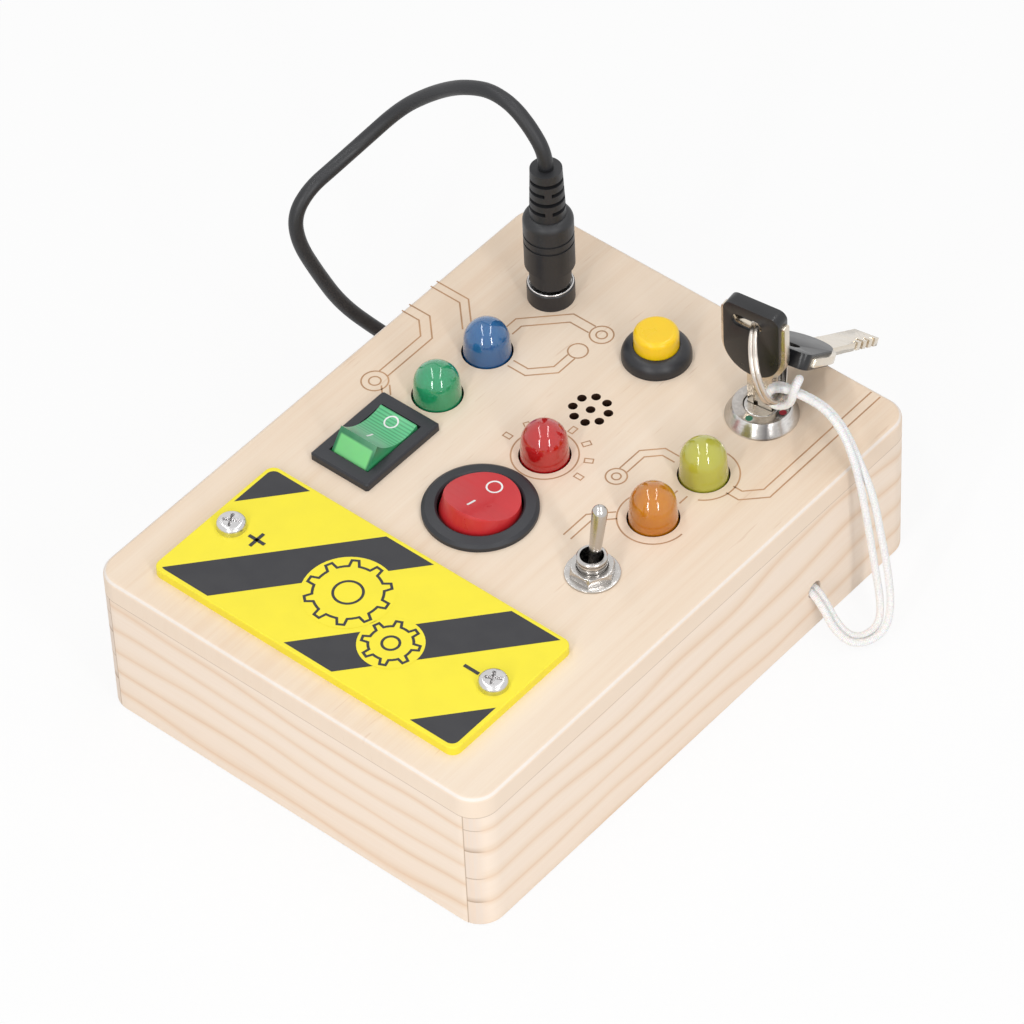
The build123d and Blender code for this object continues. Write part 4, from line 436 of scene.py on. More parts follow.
def lamp_plastic(name, colour, deep):
    """Diffusing dome: tinted translucent plastic, darker towards its base."""
    shader = Shader(name)
    height = shader.axes(shader.place)[2]
    swirl = shader.noise(shader.place, scale=210.0, detail=3.0)
    level = shader.span(height, LID_TOP * MM, (LID_TOP + LAMP_RISE) * MM, 0.15, 0.75)
    level = shader.calc("MULTIPLY_ADD", shader.calc("SUBTRACT", swirl, 0.5), 0.8, level, clamp=True)
    shade = shader.mix(level, deep, colour)
    shader.surface(
        base_color=shade, roughness=0.09, ior=1.5, coat_weight=0.8, coat_roughness=0.03,
        subsurface_weight=0.45, subsurface_scale=1.6 * MM,
        subsurface_radius=(1.0, 1.0, 1.0), transmission_weight=0.12,
    )
    return shader.material


CORD_SHADE = (0.74, 0.73, 0.72)
CORD_WHITE = (0.93, 0.93, 0.925)
THREAD_LEAN = 50.0  # radians of weave per turn round the cord
THREAD_RUN = 9000.0  # radians of weave per metre along it


def woven_cord():
    """White woven cord: fine crossing threads in colour, over the mesh's own braid."""
    shader = Shader("cord_white")
    where = shader.add("ShaderNodeUVMap", uv_map="cord").outputs[0]
    along, around, _ = shader.axes(where)
    lean = shader.calc("MULTIPLY", around, THREAD_LEAN)
    run = shader.calc("MULTIPLY", along, THREAD_RUN)
    first = shader.calc("SINE", shader.calc("ADD", run, lean))
    second = shader.calc("SINE", shader.calc("SUBTRACT", run, lean))
    thread = shader.calc("MULTIPLY", first, second)
    fluff = shader.noise(shader.place, scale=2600.0, detail=3.0)
    level = shader.calc("MULTIPLY_ADD", thread, 0.3, fluff)
    shade = shader.ramp(level, [(0.2, CORD_SHADE), (0.75, CORD_WHITE)])
    shader.surface(base_color=shade, roughness=0.75, sheen_weight=0.25,
                   subsurface_weight=0.15, subsurface_scale=0.6 * MM)
    shader.bump(level, 0.05 * MM, 0.6)
    return shader.material


# Green rocker's paddle: colours with painted light and painted shade, the height of its near crest
# and its painted bright panel, in mm
PADDLE_GREEN = (0.13, 0.60, 0.27)
PADDLE_PAINTED_LIGHT = (0.22, 0.74, 0.26)
PADDLE_GREY = (0.24, 0.52, 0.34)
PADDLE_PAINTED_SHADE = (0.012, 0.20, 0.075)
# Painted shade of its sides, from the lid up to its crest
PADDLE_SIDE_PAINTED_SHADE = [
    (0.0, (0.010, 0.15, 0.05)), (0.35, (0.06, 0.42, 0.17)),
    (0.70, (0.022, 0.24, 0.10)), (1.0, (0.006, 0.12, 0.045)),
]
PADDLE_CREST_Z = 40.6
PADDLE_PANEL_HALF = 4.0
RIB_PITCH = 0.75


def green_paddle():
    """Clear green paddle: a near panel of painted light bordered by painted shade, a ribbed top
    with dark rib lines in painted shade, and clear sides in painted shade.
    """
    shader = Shader("green_switch_plastic")
    x, y, z = shader.axes(shader.place)
    nx, ny, _ = shader.axes(shader.normal)
    middle_y = GREEN_ROCKER_AT[1] * MM
    patch = shader.noise(shader.place, scale=260.0, detail=2.0)
    # Dark rib lines: painted shade in the ribs' grooves
    ribs = shader.calc("SINE", shader.calc("MULTIPLY", y, 2.0 * math.pi / (RIB_PITCH * MM)))
    ribbed = shader.span(y, middle_y - 1.5 * MM, middle_y)
    ribs = shader.calc("MULTIPLY", shader.span(ribs, -0.2, 0.9), ribbed)
    far = shader.span(y, middle_y - 3.0 * MM, middle_y + 1.5 * MM)
    top = shader.mix(far, PADDLE_GREY, PADDLE_GREEN)
    top = shader.mix(shader.calc("MULTIPLY", ribs, 0.5), top, PADDLE_PAINTED_SHADE)
    # Near face: a panel of painted light with a border of painted shade, dimmed low down by the lid
    across = shader.calc("ABSOLUTE", shader.calc("SUBTRACT", x, GREEN_ROCKER_AT[0] * MM))
    inside = shader.span(across, (PADDLE_PANEL_HALF - 0.3) * MM, (PADDLE_PANEL_HALF + 0.3) * MM,
                         1.0, 0.0)
    under = shader.span(z, (PADDLE_CREST_Z - 1.15) * MM, (PADDLE_CREST_Z - 0.75) * MM, 1.0, 0.0)
    above = shader.span(z, (LID_TOP - 0.2) * MM, (LID_TOP + 2.2) * MM, 0.30, 1.0)
    panel = shader.calc("MULTIPLY", inside, shader.calc("MULTIPLY", under, above))
    near = shader.mix(panel, PADDLE_PAINTED_SHADE, PADDLE_PAINTED_LIGHT)
    # Faces turned to the front take the painted near face
    shade = shader.mix(shader.span(shader.calc("MULTIPLY", ny, -1.0), 0.55, 0.75), top, near)
    # Sides: painted shade by height, on faces turned along x
    level = shader.calc("SUBTRACT", z, LID_TOP * MM)
    level = shader.calc("DIVIDE", level, (PADDLE_CREST_Z - LID_TOP) * MM)
    side = shader.ramp(level, PADDLE_SIDE_PAINTED_SHADE)
    shade = shader.mix(shader.span(shader.calc("ABSOLUTE", nx), 0.6, 0.85), shade, side)
    shade = shader.mix(shader.span(patch, 0.35, 0.75, 0.0, 0.15), shade, PADDLE_GREY)
    shader.surface(base_color=shade, roughness=0.32, ior=1.5, transmission_weight=0.1,
                   subsurface_weight=0.15, subsurface_scale=1.0 * MM)
    return shader.material


def add_materials():
    """All the materials, by the names used below."""
    return {
        "lid": lid_wood(),
        "front": wall_wood("wood_front", "x", 2.0, 3.2, 5.9, 0.012),
        "back": wall_wood("wood_back", "x", 7.0, 1.2, 5.2, -0.010),
        "left": wall_wood("wood_left", "y", 4.0, 6.4, 6.7, 0.0),
        "right": wall_wood("wood_right", "y", 11.0, 6.4, 6.7, 0.0),
        "block": wall_wood("wood_block", "x", 15.0, 2.0, 6.0, 0.0),
        "engraving": moulded("burnt_engraving", (0.50, 0.29, 0.16), 0.8, tone=0.2),
        "black": moulded("black_plastic", (0.014, 0.0145, 0.018), 0.38),
        "bezel": moulded("bezel_black_plastic", (0.017, 0.018, 0.023), 0.42),
        "key_plastic": moulded("key_black_plastic", (0.011, 0.011, 0.0125), 0.3),
        "hollow": moulded("hollow_black", (0.006, 0.005, 0.005), 0.8),
        "red": moulded("red_plastic", (0.60, 0.023, 0.029), 0.3, grain=0.01, tone=0.05,
                       coat_weight=0.15, subsurface_weight=0.1, subsurface_scale=0.8 * MM),
        "yellow": moulded("yellow_plastic", (0.97, 0.63, 0.005), 0.3, grain=0.01, tone=0.03,
                          coat_weight=0.2, subsurface_weight=0.1, subsurface_scale=0.8 * MM),
        "plate": moulded("plate_yellow", (0.93, 0.80, 0.035), 0.42, grain=0.01, tone=0.02),
        "ink": moulded("plate_ink", (0.028, 0.028, 0.032), 0.6, grain=0.006, tone=0.08),
        "white_mark": moulded("white_mark", (0.86, 0.86, 0.85), 0.4, grain=0.005, tone=0.03),
        "chrome": metal("chrome_metal", (0.56, 0.54, 0.52), 0.25),
        "ring": metal("ring_steel", (0.66, 0.60, 0.54), 0.22),
        "turned": turned_metal(),
        "nickel": metal("nickel_key", (0.74, 0.66, 0.55), 0.24),
        "screw": metal("screw_steel", (0.66, 0.65, 0.65), 0.26),
        "brass": metal("contact_brass", (0.80, 0.62, 0.30), 0.28),
        "spring": metal("spring_steel", (0.62, 0.62, 0.63), 0.25),
        "rubber": moulded("cable_rubber", (0.0165, 0.017, 0.0195), 0.45, grain=0.012),
        "cord": woven_cord(),
        "dot_green": moulded("dot_green", (0.008, 0.13, 0.07), 0.35),
        "dot_red": moulded("dot_red", (0.30, 0.018, 0.03), 0.35),
        "board_green": moulded("board_green", (0.02, 0.16, 0.05), 0.35),
        "cell": moulded("cell_skin", (0.10, 0.22, 0.12), 0.3),
        "wire_red": moulded("wire_red", (0.55, 0.02, 0.02), 0.4),
        "wire_black": moulded("wire_black", (0.02, 0.02, 0.02), 0.4),
        "paddle_green": green_paddle(),
        **{lamp: lamp_plastic(f"{lamp}_plastic", *shades) for lamp, shades in LAMP_SHADES.items()},
    }


# ---- CAD nodes
# CAD nodes by their material
NODE_FINISHES = {
    "lid": ["top_panel"],
    "front": ["front_wall"],
    "back": ["back_wall"],
    "left": ["left_wall"],
    "right": ["right_wall"],
    "block": ["bottom_panel", "corner_blocks"],
    "screw": ["base_screws", "panel_nuts", "plate_screws"],
    "cell": ["battery_1", "battery_2"],
    "spring": ["battery_contacts", "button_spring"],
    "black": [
        "battery_cover", "battery_tray", "button_housing", "circuit_board_parts",
        "circuit_board_spacers", "socket_collar", "toggle_body",
    ],
    "yellow": ["button_cap"],
    "hollow": ["buzzer"],
    "rubber": ["cable_grommet", "plug_body", "plug_strain_relief"],
    "board_green": ["circuit_board"],
    "paddle_green": ["green_rocker"],
    "bezel": ["green_rocker_housing", "red_rocker_housing"],
    "plate": ["hazard_plate"],
    "nickel": ["key_blade", "spare_key_blade"],
    "key_plastic": ["key_cover", "spare_key_cover"],
    "ring": ["key_ring"],
    **{lamp: [lamp] for lamp in LAMP_SHADES},
    "cord": ["lanyard_stop_knot"],
    "chrome": [
        "lock_barrel", "plug_barrel", "socket_sleeve", "toggle_bushing", "toggle_lever",
        "toggle_nut", "toggle_washer",
    ],
    "dot_green": ["lock_dot_green"],
    "dot_red": ["lock_dot_red"],
    "turned": ["lock_housing"],
    "red": ["red_rocker"],
    "brass": ["terminals"],
    "wire_black": ["wires_black"],
    "wire_red": ["wires_red"],
}
# Softened edges, in mm, of nodes whose edges show
NODE_EDGES = {
    "key_cover": 0.45,
    "spare_key_cover": 0.45,
    "key_blade": 0.18,
    "spare_key_blade": 0.18,
    "green_rocker": 0.25,
    "red_rocker": 0.35,
    "green_rocker_housing": 0.12,
    "toggle_nut": 0.12,
    "toggle_washer": 0.1,
    "lock_housing": 0.15,
}
SMOOTH_ANGLE = math.radians(32.0)
BEVEL_ANGLE = math.radians(28.0)
BEVEL_SEGMENTS = 3
WELD_DISTANCE = 0.002 * MM


def smooth(mesh):
    """Shades a mesh smoothly."""
    mesh.polygons.foreach_set("use_smooth", [True] * len(mesh.polygons))


def soften_edges(node, width):
    """Rounds a node's edges by a width in mm, with modifiers alone."""
    weld = node.modifiers.new("weld", "WELD")
    weld.merge_threshold = WELD_DISTANCE
    bevel = node.modifiers.new("edges", "BEVEL")
    bevel.width = width * MM
    bevel.segments = BEVEL_SEGMENTS
    bevel.limit_method = "ANGLE"
    bevel.angle_limit = BEVEL_ANGLE
    bevel.harden_normals = True


def finish_nodes(materials):
    """Gives each CAD node its material, smooth shading and softened edges."""
    for finish, names in NODE_FINISHES.items():
        for name in names:
            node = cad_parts[name]
            if not node.material_slots:
                node.data.materials.append(materials[finish])
            for slot in node.material_slots:
                slot.material = materials[finish]
            smooth(node.data)
            node.data.set_sharp_from_angle(angle=SMOOTH_ANGLE)
    for name, width in NODE_EDGES.items():
        soften_edges(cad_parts[name], width)


def squash_button_spring():
    """The button's spring gets a mesh of its own."""
    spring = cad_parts["button_spring"]
    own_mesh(spring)


# ---- mesh helpers
def mesh_object(name, verts, faces, material):
    """A new mesh object of one material."""
    mesh = bpy.data.meshes.new(name)
    mesh.from_pydata([tuple(v) for v in verts], [], faces)
    mesh.validate()
    mesh.materials.append(material)
    return add_object(name, mesh)


def piece(name, verts, faces, material, body, slot):
    """A new mesh object that rides on a body, if one is named."""
    made = mesh_object(name, verts, faces, material)
    if body:
        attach(made, body)
    return made


RAY_START = 0.08  # m, above every node that carries a mark


def node_tree(name):
    """Ray-cast tree of a CAD node."""
    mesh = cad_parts[name].data
    mesh.calc_loop_triangles()
    verts = [v.co.copy() for v in mesh.vertices]
    return BVHTree.FromPolygons(verts, [tuple(t.vertices) for t in mesh.loop_triangles])


def ribbon(points, half, closed=False):
    """Left and right rows of a flat band along 2-D points, with mitred corners."""
    count = len(points)
    rows = []
    for index in range(count):
        here = Vector(points[index])
        ahead = Vector(points[(index + 1) % count]) - here
        behind = here - Vector(points[index - 1])
        if not closed and index == 0:
            behind = ahead
        if not closed and index == count - 1:
            ahead = behind
        first = Vector((-behind.y, behind.x)).normalized()
        second = Vector((-ahead.y, ahead.x)).normalized()
        mitre = first + second
        mitre *= 2.0 * half / max(mitre.length_squared, 1.0)
        rows.append((here + mitre, here - mitre))
    return rows


def band_faces(rows, closed, start):
    """Faces between the two rows of a band, whose corners are numbered from start."""
    count = len(rows)
    last = count if closed else count - 1
    faces = []
    for index in range(last):
        after = (index + 1) % count
        here, there = start + 2 * index, start + 2 * after
        faces.append((here, here + 1, there + 1, there))
    return faces


def circle(centre, radius, steps, start=0.0, span=360.0):
    """2-D points on a circle or an arc, in mm."""
    closed = span >= 360.0
    divisions = steps if closed else steps - 1
    return [
        (centre[0] + radius * math.cos(math.radians(start + span * i / divisions)),
         centre[1] + radius * math.sin(math.radians(start + span * i / divisions)))
        for i in range(steps)
    ]


def rounded_rectangle(centre, width, length, radius, steps=8):
    """2-D points round a rectangle with rounded corners, in mm."""
    points = []
    for corner_x, corner_y, start in ((1, 1, 0), (-1, 1, 90), (-1, -1, 180), (1, -1, 270)):
        middle = (centre[0] + corner_x * (width / 2 - radius),
                  centre[1] + corner_y * (length / 2 - radius))
        points += circle(middle, radius, steps, start, 90.0)
    return points


def clip(polygon, normal, offset):
    """The part of a convex polygon where normal . point <= offset."""
    kept = []
    for here, after in zip(polygon, polygon[1:] + polygon[:1]):
        here_side = here[0] * normal[0] + here[1] * normal[1] - offset
        after_side = after[0] * normal[0] + after[1] * normal[1] - offset
        if here_side <= 0:
            kept.append(here)
        if here_side * after_side < 0:
            share = here_side / (here_side - after_side)
            kept.append((here[0] + share * (after[0] - here[0]),
                         here[1] + share * (after[1] - here[1])))
    return kept


TOOTH_SHARES = (0.0, 0.14, 0.24, 0.50, 0.60, 0.80)  # of the pitch, where the outline bends


def cog(centre, root, tip, teeth, turn):
    """2-D outline of a toothed wheel, in mm."""
    points = []
    for tooth in range(teeth):
        for share, radius in zip(TOOTH_SHARES, (root, root, tip, tip, root, root)):
            angle = math.radians(turn + 360.0 * (tooth + share) / teeth)
            points.append((centre[0] + radius * math.cos(angle),
                           centre[1] + radius * math.sin(angle)))
    return points


def bands(name, lines, place, material, body, slot):
    """Bands along lines of (points, width, closed), in mm; place puts each corner in space."""
    verts, faces = [], []
    for points, width, closed in lines:
        rows = ribbon(points, width / 2.0, closed)
        faces += band_faces(rows, closed, len(verts))
        verts += [place(corner) for row in rows for corner in row]
    return piece(name, verts, faces, material, body, slot)


def on_level(height):
    """Places a corner on a level surface, at a height in mm."""
    return lambda corner: (corner.x * MM, corner.y * MM, height * MM)


def on_node(name, lift):
    """Places a corner on a node's top, found by a ray cast down on it, and lifts it in mm."""
    tree = node_tree(name)

    def place(corner):
        start = Vector((corner.x * MM, corner.y * MM, RAY_START))
        hit, normal, _, _ = tree.ray_cast(start, Vector((0, 0, -1)))
        return hit + normal * lift * MM

    return place


# ---- cords
CABLE_STEP = 0.8  # mm between a tube's rings
BRAID_STEP = 0.14
TUBE_SIDES = 24
ROUTE_RESOLUTION = 24
HITCH_CORD_R = 0.8


def spline_points(controls, step):
    """Even points, in metres, along the NURBS spline of a route given in mm."""
    data = bpy.data.curves.new("route", "CURVE")
    data.dimensions = "3D"
    data.resolution_u = ROUTE_RESOLUTION
    spline = data.splines.new("NURBS")
    spline.points.add(len(controls) - 1)
    for point, where in zip(spline.points, controls):
        point.co = (*(Vector(where) * MM), 1.0)
    spline.order_u = 3
    spline.use_endpoint_u = True
    carrier = add_object("route", data)
    bpy.context.view_layer.update()
    mesh = bpy.data.meshes.new_from_object(carrier)
    dense = [v.co.copy() for v in mesh.vertices]
    bpy.data.objects.remove(carrier)
    bpy.data.curves.remove(data)
    bpy.data.meshes.remove(mesh)
    return resample(dense, step * MM)


def lengths_along(points):
    """How far along a line each of its points is."""
    reach = [0.0]
    for before, after in zip(points, points[1:]):
        reach.append(reach[-1] + (after - before).length)
    return reach


def resample(dense, step):
    """Even points along a line, about a step apart."""
    reach = lengths_along(dense)
    count = max(int(round(reach[-1] / step)), 2)
    even = []
    index = 0
    for number in range(count + 1):
        target = reach[-1] * number / count
        while index < len(reach) - 2 and reach[index + 1] < target:
            index += 1
        run = reach[index + 1] - reach[index]
        share = (target - reach[index]) / run if run else 0.0
        even.append(dense[index].lerp(dense[index + 1], min(max(share, 0.0), 1.0)))
    return even


def frames(points):
    """Cross-section axes along a line, carried without twist."""
    made = []
    tangent = (points[1] - points[0]).normalized()
    side = tangent.orthogonal().normalized()
    for index in range(len(points)):
        before = points[max(index - 1, 0)]
        after = points[min(index + 1, len(points) - 1)]
        tangent = (after - before).normalized()
        side = (side - tangent * side.dot(tangent)).normalized()
        made.append((side, tangent.cross(side)))
    return made


BRAID_PITCH = 0.75
BRAID_STRANDS = 8
BRAID_DEPTH = 0.055


def braid(run, turn):
    """Height of a braided cord's surface, -1 to 1: run in mm along it, turn in radians."""
    return 0.5 * (math.cos(2.0 * math.pi * run / BRAID_PITCH) - math.cos(BRAID_STRANDS * turn))


def tube_faces(rings, sides, closed=False):
    """Side faces of a tube whose rings of corners are numbered one after another."""
    faces = []
    for ring in range(rings if closed else rings - 1):
        low, high = ring * sides, (ring + 1) % rings * sides
        for number in range(sides):
            after = (number + 1) % sides
            faces.append((low + number, low + after, high + after, high + number))
    return faces


def sweep_tube(name, points, axes, radius, material, slot, body=None, braided=False, run0=0.0):
    """A closed tube mesh along points, with a UV map of its length and turn."""
    sides = TUBE_SIDES
    verts = []
    run = run0
    runs = []
    for index, point in enumerate(points):
        if index:
            run += (point - points[index - 1]).length
        runs.append(run)
        side, other = axes[index]
        for number in range(sides):
            turn = 2.0 * math.pi * number / sides
            reach = radius
            if braided:
                reach *= 1.0 + BRAID_DEPTH * braid(run / MM, turn)
            verts.append(point + (side * math.cos(turn) + other * math.sin(turn)) * reach)
    faces = tube_faces(len(points), sides)
    faces.append(tuple(reversed(range(sides))))
    top = (len(points) - 1) * sides
    faces.append(tuple(range(top, top + sides)))
    made = piece(name, verts, faces, material, body, slot)
    layer = made.data.uv_layers.new(name="cord")
    for loop in made.data.loops:
        ring, number = divmod(loop.vertex_index, sides)
        layer.data[loop.index].uv = (runs[ring], number / sides)
    smooth(made.data)
    return made


def add_cable(materials):
    """The charging cable, from inside the box to the plug's strain relief."""
    points = spline_points(CABLE, CABLE_STEP)
    cable = sweep_tube("cable_tube", points, frames(points), CABLE_D / 2 * MM,
                       materials["rubber"], "black_rubber")
    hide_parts("cable")
    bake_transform(cable)


# Where a strand's first two pieces end, in mm from the ring
SEGMENT_ENDS = (5.0, 9.5)


def add_strand(name, controls, materials):
    """One lanyard strand, in three pieces."""
    points = spline_points(controls, BRAID_STEP)
    axes = frames(points)
    reach = lengths_along(points)
    cuts = [0]
    for end in SEGMENT_ENDS:
        cuts.append(min(range(len(reach)), key=lambda i: abs(reach[i] - end * MM)))
    cuts.append(len(points) - 1)
    parts = []
    for number, (first, last) in enumerate(zip(cuts, cuts[1:])):
        run = slice(first, last + 1)
        parts.append(sweep_tube(f"{name}_{number}", points[run], axes[run], LANYARD_D / 2 * MM,
                                materials["cord"], "cord_white", braided=True, run0=reach[first]))
    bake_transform(parts[0])
    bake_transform(parts[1])
    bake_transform(parts[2])
    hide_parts(name)


# Key ring's lowest point and its axes there: m away from the ring's centre, n along the ring's
# axis, t along its wire
RING_LOW = Vector((30.90, 44.76, 44.14))
RING_M = Vector((0.3702, -0.0800, -0.9255)).normalized()
RING_N = Vector((-0.838078, -0.458542, -0.295574))
RING_T = Vector((0.400721, -0.885061, 0.236834))
# The cow hitch: control points (m, n, t) in mm, strand to strand round the wire and over itself
HITCH = [
    (-0.95, -3.4, 0.36), (-1.35, -2.3, 0.2), (-1.75, -1.0, 0.05),
    (-1.85, 0.6, 0.0), (-1.1, 1.9, 0.0), (0.3, 2.2, 0.0),
    (1.6, 1.4, 0.1), (1.95, -0.1, 0.2), (1.6, -1.6, 0.5),
    (0.6, -2.7, 1.1), (-0.9, -3.6, 1.6), (-2.4, -4.4, 1.5),
    (-3.3, -5.1, 0.6), (-3.1, -4.9, -0.9), (-1.9, -3.9, -1.9),
    (-0.4, -2.6, -2.3), (1.0, -1.6, -2.2), (1.6, -0.2, -2.0),
    (1.4, 1.3, -1.9), (0.2, 2.2, -1.8), (-1.2, 1.7, -1.8),
    (-1.7, 0.3, -1.7), (-1.3, -1.4, -1.5), (-0.7, -2.5, -1.3),
    (-0.25, -3.5, -1.15),
]


def add_knot(materials):
    """The hitch of the lanyard on the key ring."""
    controls = [RING_LOW + RING_M * m + RING_N * n + RING_T * t for m, n, t in HITCH]
    points = spline_points(controls, BRAID_STEP)
    knot = sweep_tube("lanyard_hitch", points, frames(points), HITCH_CORD_R * MM,
                      materials["cord"], "cord_white", body="ring", braided=True)
    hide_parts("lanyard_knot")
    return knot


RIM_R = 4.42
RIM_WIRE_R = 0.2
RIM_LIFT = 0.06
RIM_STEPS = 64
RIM_SIDES = 12


def add_socket_rim(materials):
    """Bright turned rim between the socket's collar and the plug."""
    height = SOCKET_TOP + RIM_LIFT
    rim = [Vector((x, y, height)) * MM for x, y in circle(SOCKET_AT, RIM_R, RIM_STEPS)]
    verts = []
    reach = RIM_WIRE_R * MM
    for point in rim:
        out = Vector((point.x - SOCKET_AT[0] * MM, point.y - SOCKET_AT[1] * MM, 0.0)).normalized()
        for number in range(RIM_SIDES):
            turn = 2.0 * math.pi * number / RIM_SIDES
            up = Vector((0, 0, math.sin(turn) * reach))
            verts.append(point + out * math.cos(turn) * reach + up)
    faces = tube_faces(RIM_STEPS, RIM_SIDES, closed=True)
    made = piece("socket_rim", verts, faces, materials["screw"], "board", "chrome_metal")
    smooth(made.data)


# ---- print, engraving and marks
LINE_W = 0.32
CIRCLE_STEPS = 40
LIFT = 0.02  # mm above the surface that carries a print or an engraved line
# Engraved tracks: centre line in mm and the gap between its two outlines
TRACKS = [
    ([(-47.9, 26.0), (-43.0, 26.0), (-39.2, 22.2), (-39.2, 9.4)], 2.2),
    ([(-47.9, 34.5), (-40.0, 34.5), (-34.4, 28.9)], 1.8),
    ([(-27.6, 33.2), (-27.6, 36.5), (-20.2, 43.9), (-15.0, 43.9)], 2.2),
    ([(-21.6, 26.9), (-17.5, 26.9), (-13.4, 31.0), (-13.4, 35.6)], 1.8),
    ([(-36.8, 7.2), (-34.8, 5.2)], 1.6),
    ([(33.4, 26.6), (36.0, 26.6), (39.6, 30.2), (39.6, 64.0)], 2.2),
    ([(27.0, 17.8), (27.0, 20.2)], 2.4),
    ([(20.8, 8.0), (17.0, 4.2), (17.0, -2.2)], 1.8),
    ([(20.6, 26.6), (17.2, 26.6), (14.2, 23.6), (14.2, 18.0)], 1.8),
]
# Round pads: centre and radius
PADS = [((-39.2, 6.8), 2.7), ((-39.2, 6.8), 1.2), ((-12.6, 43.9), 2.4), ((-12.6, 43.9), 1.1),
        ((-13.4, 37.6), 2.0), ((14.2, 15.9), 2.1), ((14.2, 15.9), 0.9)]
# Part circles round two lamps: centre, radius, start and span in degrees
ARCS = [(AMBER_LAMP_AT, 7.0, 130.0, 230.0), (LIME_LAMP_AT, 7.0, -60.0, 200.0)]
# The ring of rays at the red lamp
RAY_RING_R = 6.6
RAY_RING_STEPS = 64
RAY_REACH = 8.9
RAY_SHIFT = Vector((0.0, -0.5))
RAY_LINE_W = 0.26
RAY_HALF_LENGTH = 0.85
RAY_HALF_WIDTH = 0.55
RAY_CORNERS = ((1, 1), (1, -1), (-1, -1), (-1, 1))
RAY_ANGLES = range(0, 181, 30)


def add_engraving(materials):
    """Engraved outlines on the lid: a ring of rays and circuit-like tracks."""
    lines = [(circle(RED_LAMP_AT, RAY_RING_R, RAY_RING_STEPS), LINE_W, True)]
    for angle in RAY_ANGLES:
        turn = math.radians(angle)
        out = Vector((math.cos(turn), math.sin(turn)))
        side = Vector((-out.y, out.x))
        centre = Vector(RED_LAMP_AT) + RAY_SHIFT + out * RAY_REACH
        corners = [centre + out * (a * RAY_HALF_LENGTH) + side * (b * RAY_HALF_WIDTH)
                   for a, b in RAY_CORNERS]
        lines.append(([(c.x, c.y) for c in corners], RAY_LINE_W, True))
    for points, gap in TRACKS:
        for edge in zip(*ribbon(points, gap / 2.0)):
            lines.append(([(c.x, c.y) for c in edge], LINE_W, False))
    for centre, radius in PADS:
        lines.append((circle(centre, radius, CIRCLE_STEPS), LINE_W, True))
    for centre, radius, start, span in ARCS:
        lines.append((circle(centre, radius, CIRCLE_STEPS, start, span), LINE_W, False))
    bands("lid_engraving", lines, on_level(LID_TOP + LIFT), materials["engraving"], "board",
          "wood_light")


STRIPE_ANGLE = 49.0
# Dark stripes: from and to, in mm across the stripes from the plate's centre
STRIPES = ((-40.0, -31.1), (-16.55, -7.55), (6.9, 15.9), (30.4, 39.4))
PRINT_INSET = 0.9
PRINT_CORNER_R = PLATE_R - 0.4
# Pole signs: both strokes of the plus, and the minus
SIGNS = [
    [(-29.4, -40.7), (-25.4, -40.7)],
    [(-27.4, -38.7), (-27.4, -42.7)],
    [(24.3, -40.7), (27.9, -40.7)],
]
SIGN_W = 0.75
COG_LINE_W = 0.55
# Cogwheels: centre, root and tip radius, teeth, turn, hub radius and steps, radius of the bare disc
COGS = [
    ((-4.8, -40.2), 6.8, 8.3, 10, 0.0, 2.9, 40, 9.2),
    ((10.0, -45.0), 4.3, 5.6, 8, 8.0, 1.7, 32, 6.5),
]
DISC_STEPS = 48


def add_stripes(materials):
    """The plate's dark hazard stripes."""
    across = (math.sin(math.radians(STRIPE_ANGLE)), -math.cos(math.radians(STRIPE_ANGLE)))
    middle = PLATE_AT[0] * across[0] + PLATE_AT[1] * across[1]
    field = rounded_rectangle(PLATE_AT, PLATE_W - 2 * PRINT_INSET, PLATE_L - 2 * PRINT_INSET,
                              PRINT_CORNER_R)
    verts, faces = [], []
    for low, high in STRIPES:
        shape = clip(field, across, middle + high)
        shape = clip(shape, (-across[0], -across[1]), -(middle + low))
        faces.append(tuple(range(len(verts), len(verts) + len(shape))))
        verts += [(x * MM, y * MM, (PLATE_TOP + LIFT) * MM) for x, y in shape]
    piece("plate_stripes", verts, faces, materials["ink"], "board", "plate_yellow")


def add_plate_signs(materials):
    """Pole signs and a plain pair of cogwheels, each on a bare disc over the stripes."""
    lines = [(ends, SIGN_W, False) for ends in SIGNS]
    verts, faces = [], []
    for centre, root, tip, teeth, turn, hub, hub_steps, disc in COGS:
        lines.append((cog(centre, root, tip, teeth, turn), COG_LINE_W, True))
        lines.append((circle(centre, hub, hub_steps), COG_LINE_W, True))
        start = len(verts)
        verts += [(x * MM, y * MM, (PLATE_TOP + 2 * LIFT) * MM)
                  for x, y in [centre, *circle(centre, disc, DISC_STEPS)]]
        faces += [(start, start + 1 + i, start + 1 + (i + 1) % DISC_STEPS)
                  for i in range(DISC_STEPS)]
    piece("plate_cog_fill", verts, faces, materials["plate"], "board", "plate_yellow")
    bands("plate_signs", lines, on_level(PLATE_TOP + 3 * LIFT), materials["ink"], "board",
          "plate_yellow")


MARK_LIFT = 0.03
# O and I signs by rocker: the O's centre, radius and line width, the I's points and width, the slot
ROCKER_MARKS = {
    "red_rocker": (
        (RED_ROCKER_AT[0] - 0.4, RED_ROCKER_AT[1] + 4.7), 1.5, 0.36,
        [(-1.1, -10.0), (-1.1, -9.2), (-1.1, -8.4), (-1.1, -7.6)], 0.42, "red_plastic",
    ),
    "green_rocker": (
        (GREEN_ROCKER_AT[0] - 0.2, GREEN_ROCKER_AT[1] + 5.0), 1.35, 0.34,
        [(-28.3, -7.9), (-28.3, -7.0), (-28.3, -6.1)], 0.4, "green_switch_plastic",
    ),
}


def add_rocker_marks(materials):
    """The I and O signs on both rockers."""
    for rocker, (centre, radius, ring_w, dash, dash_w, slot) in ROCKER_MARKS.items():
        lines = [(circle(centre, radius, CIRCLE_STEPS), ring_w, True), (dash, dash_w, False)]
        bands(f"{rocker}_marks", lines, on_node(rocker, MARK_LIFT), materials["white_mark"], rocker,
              slot)


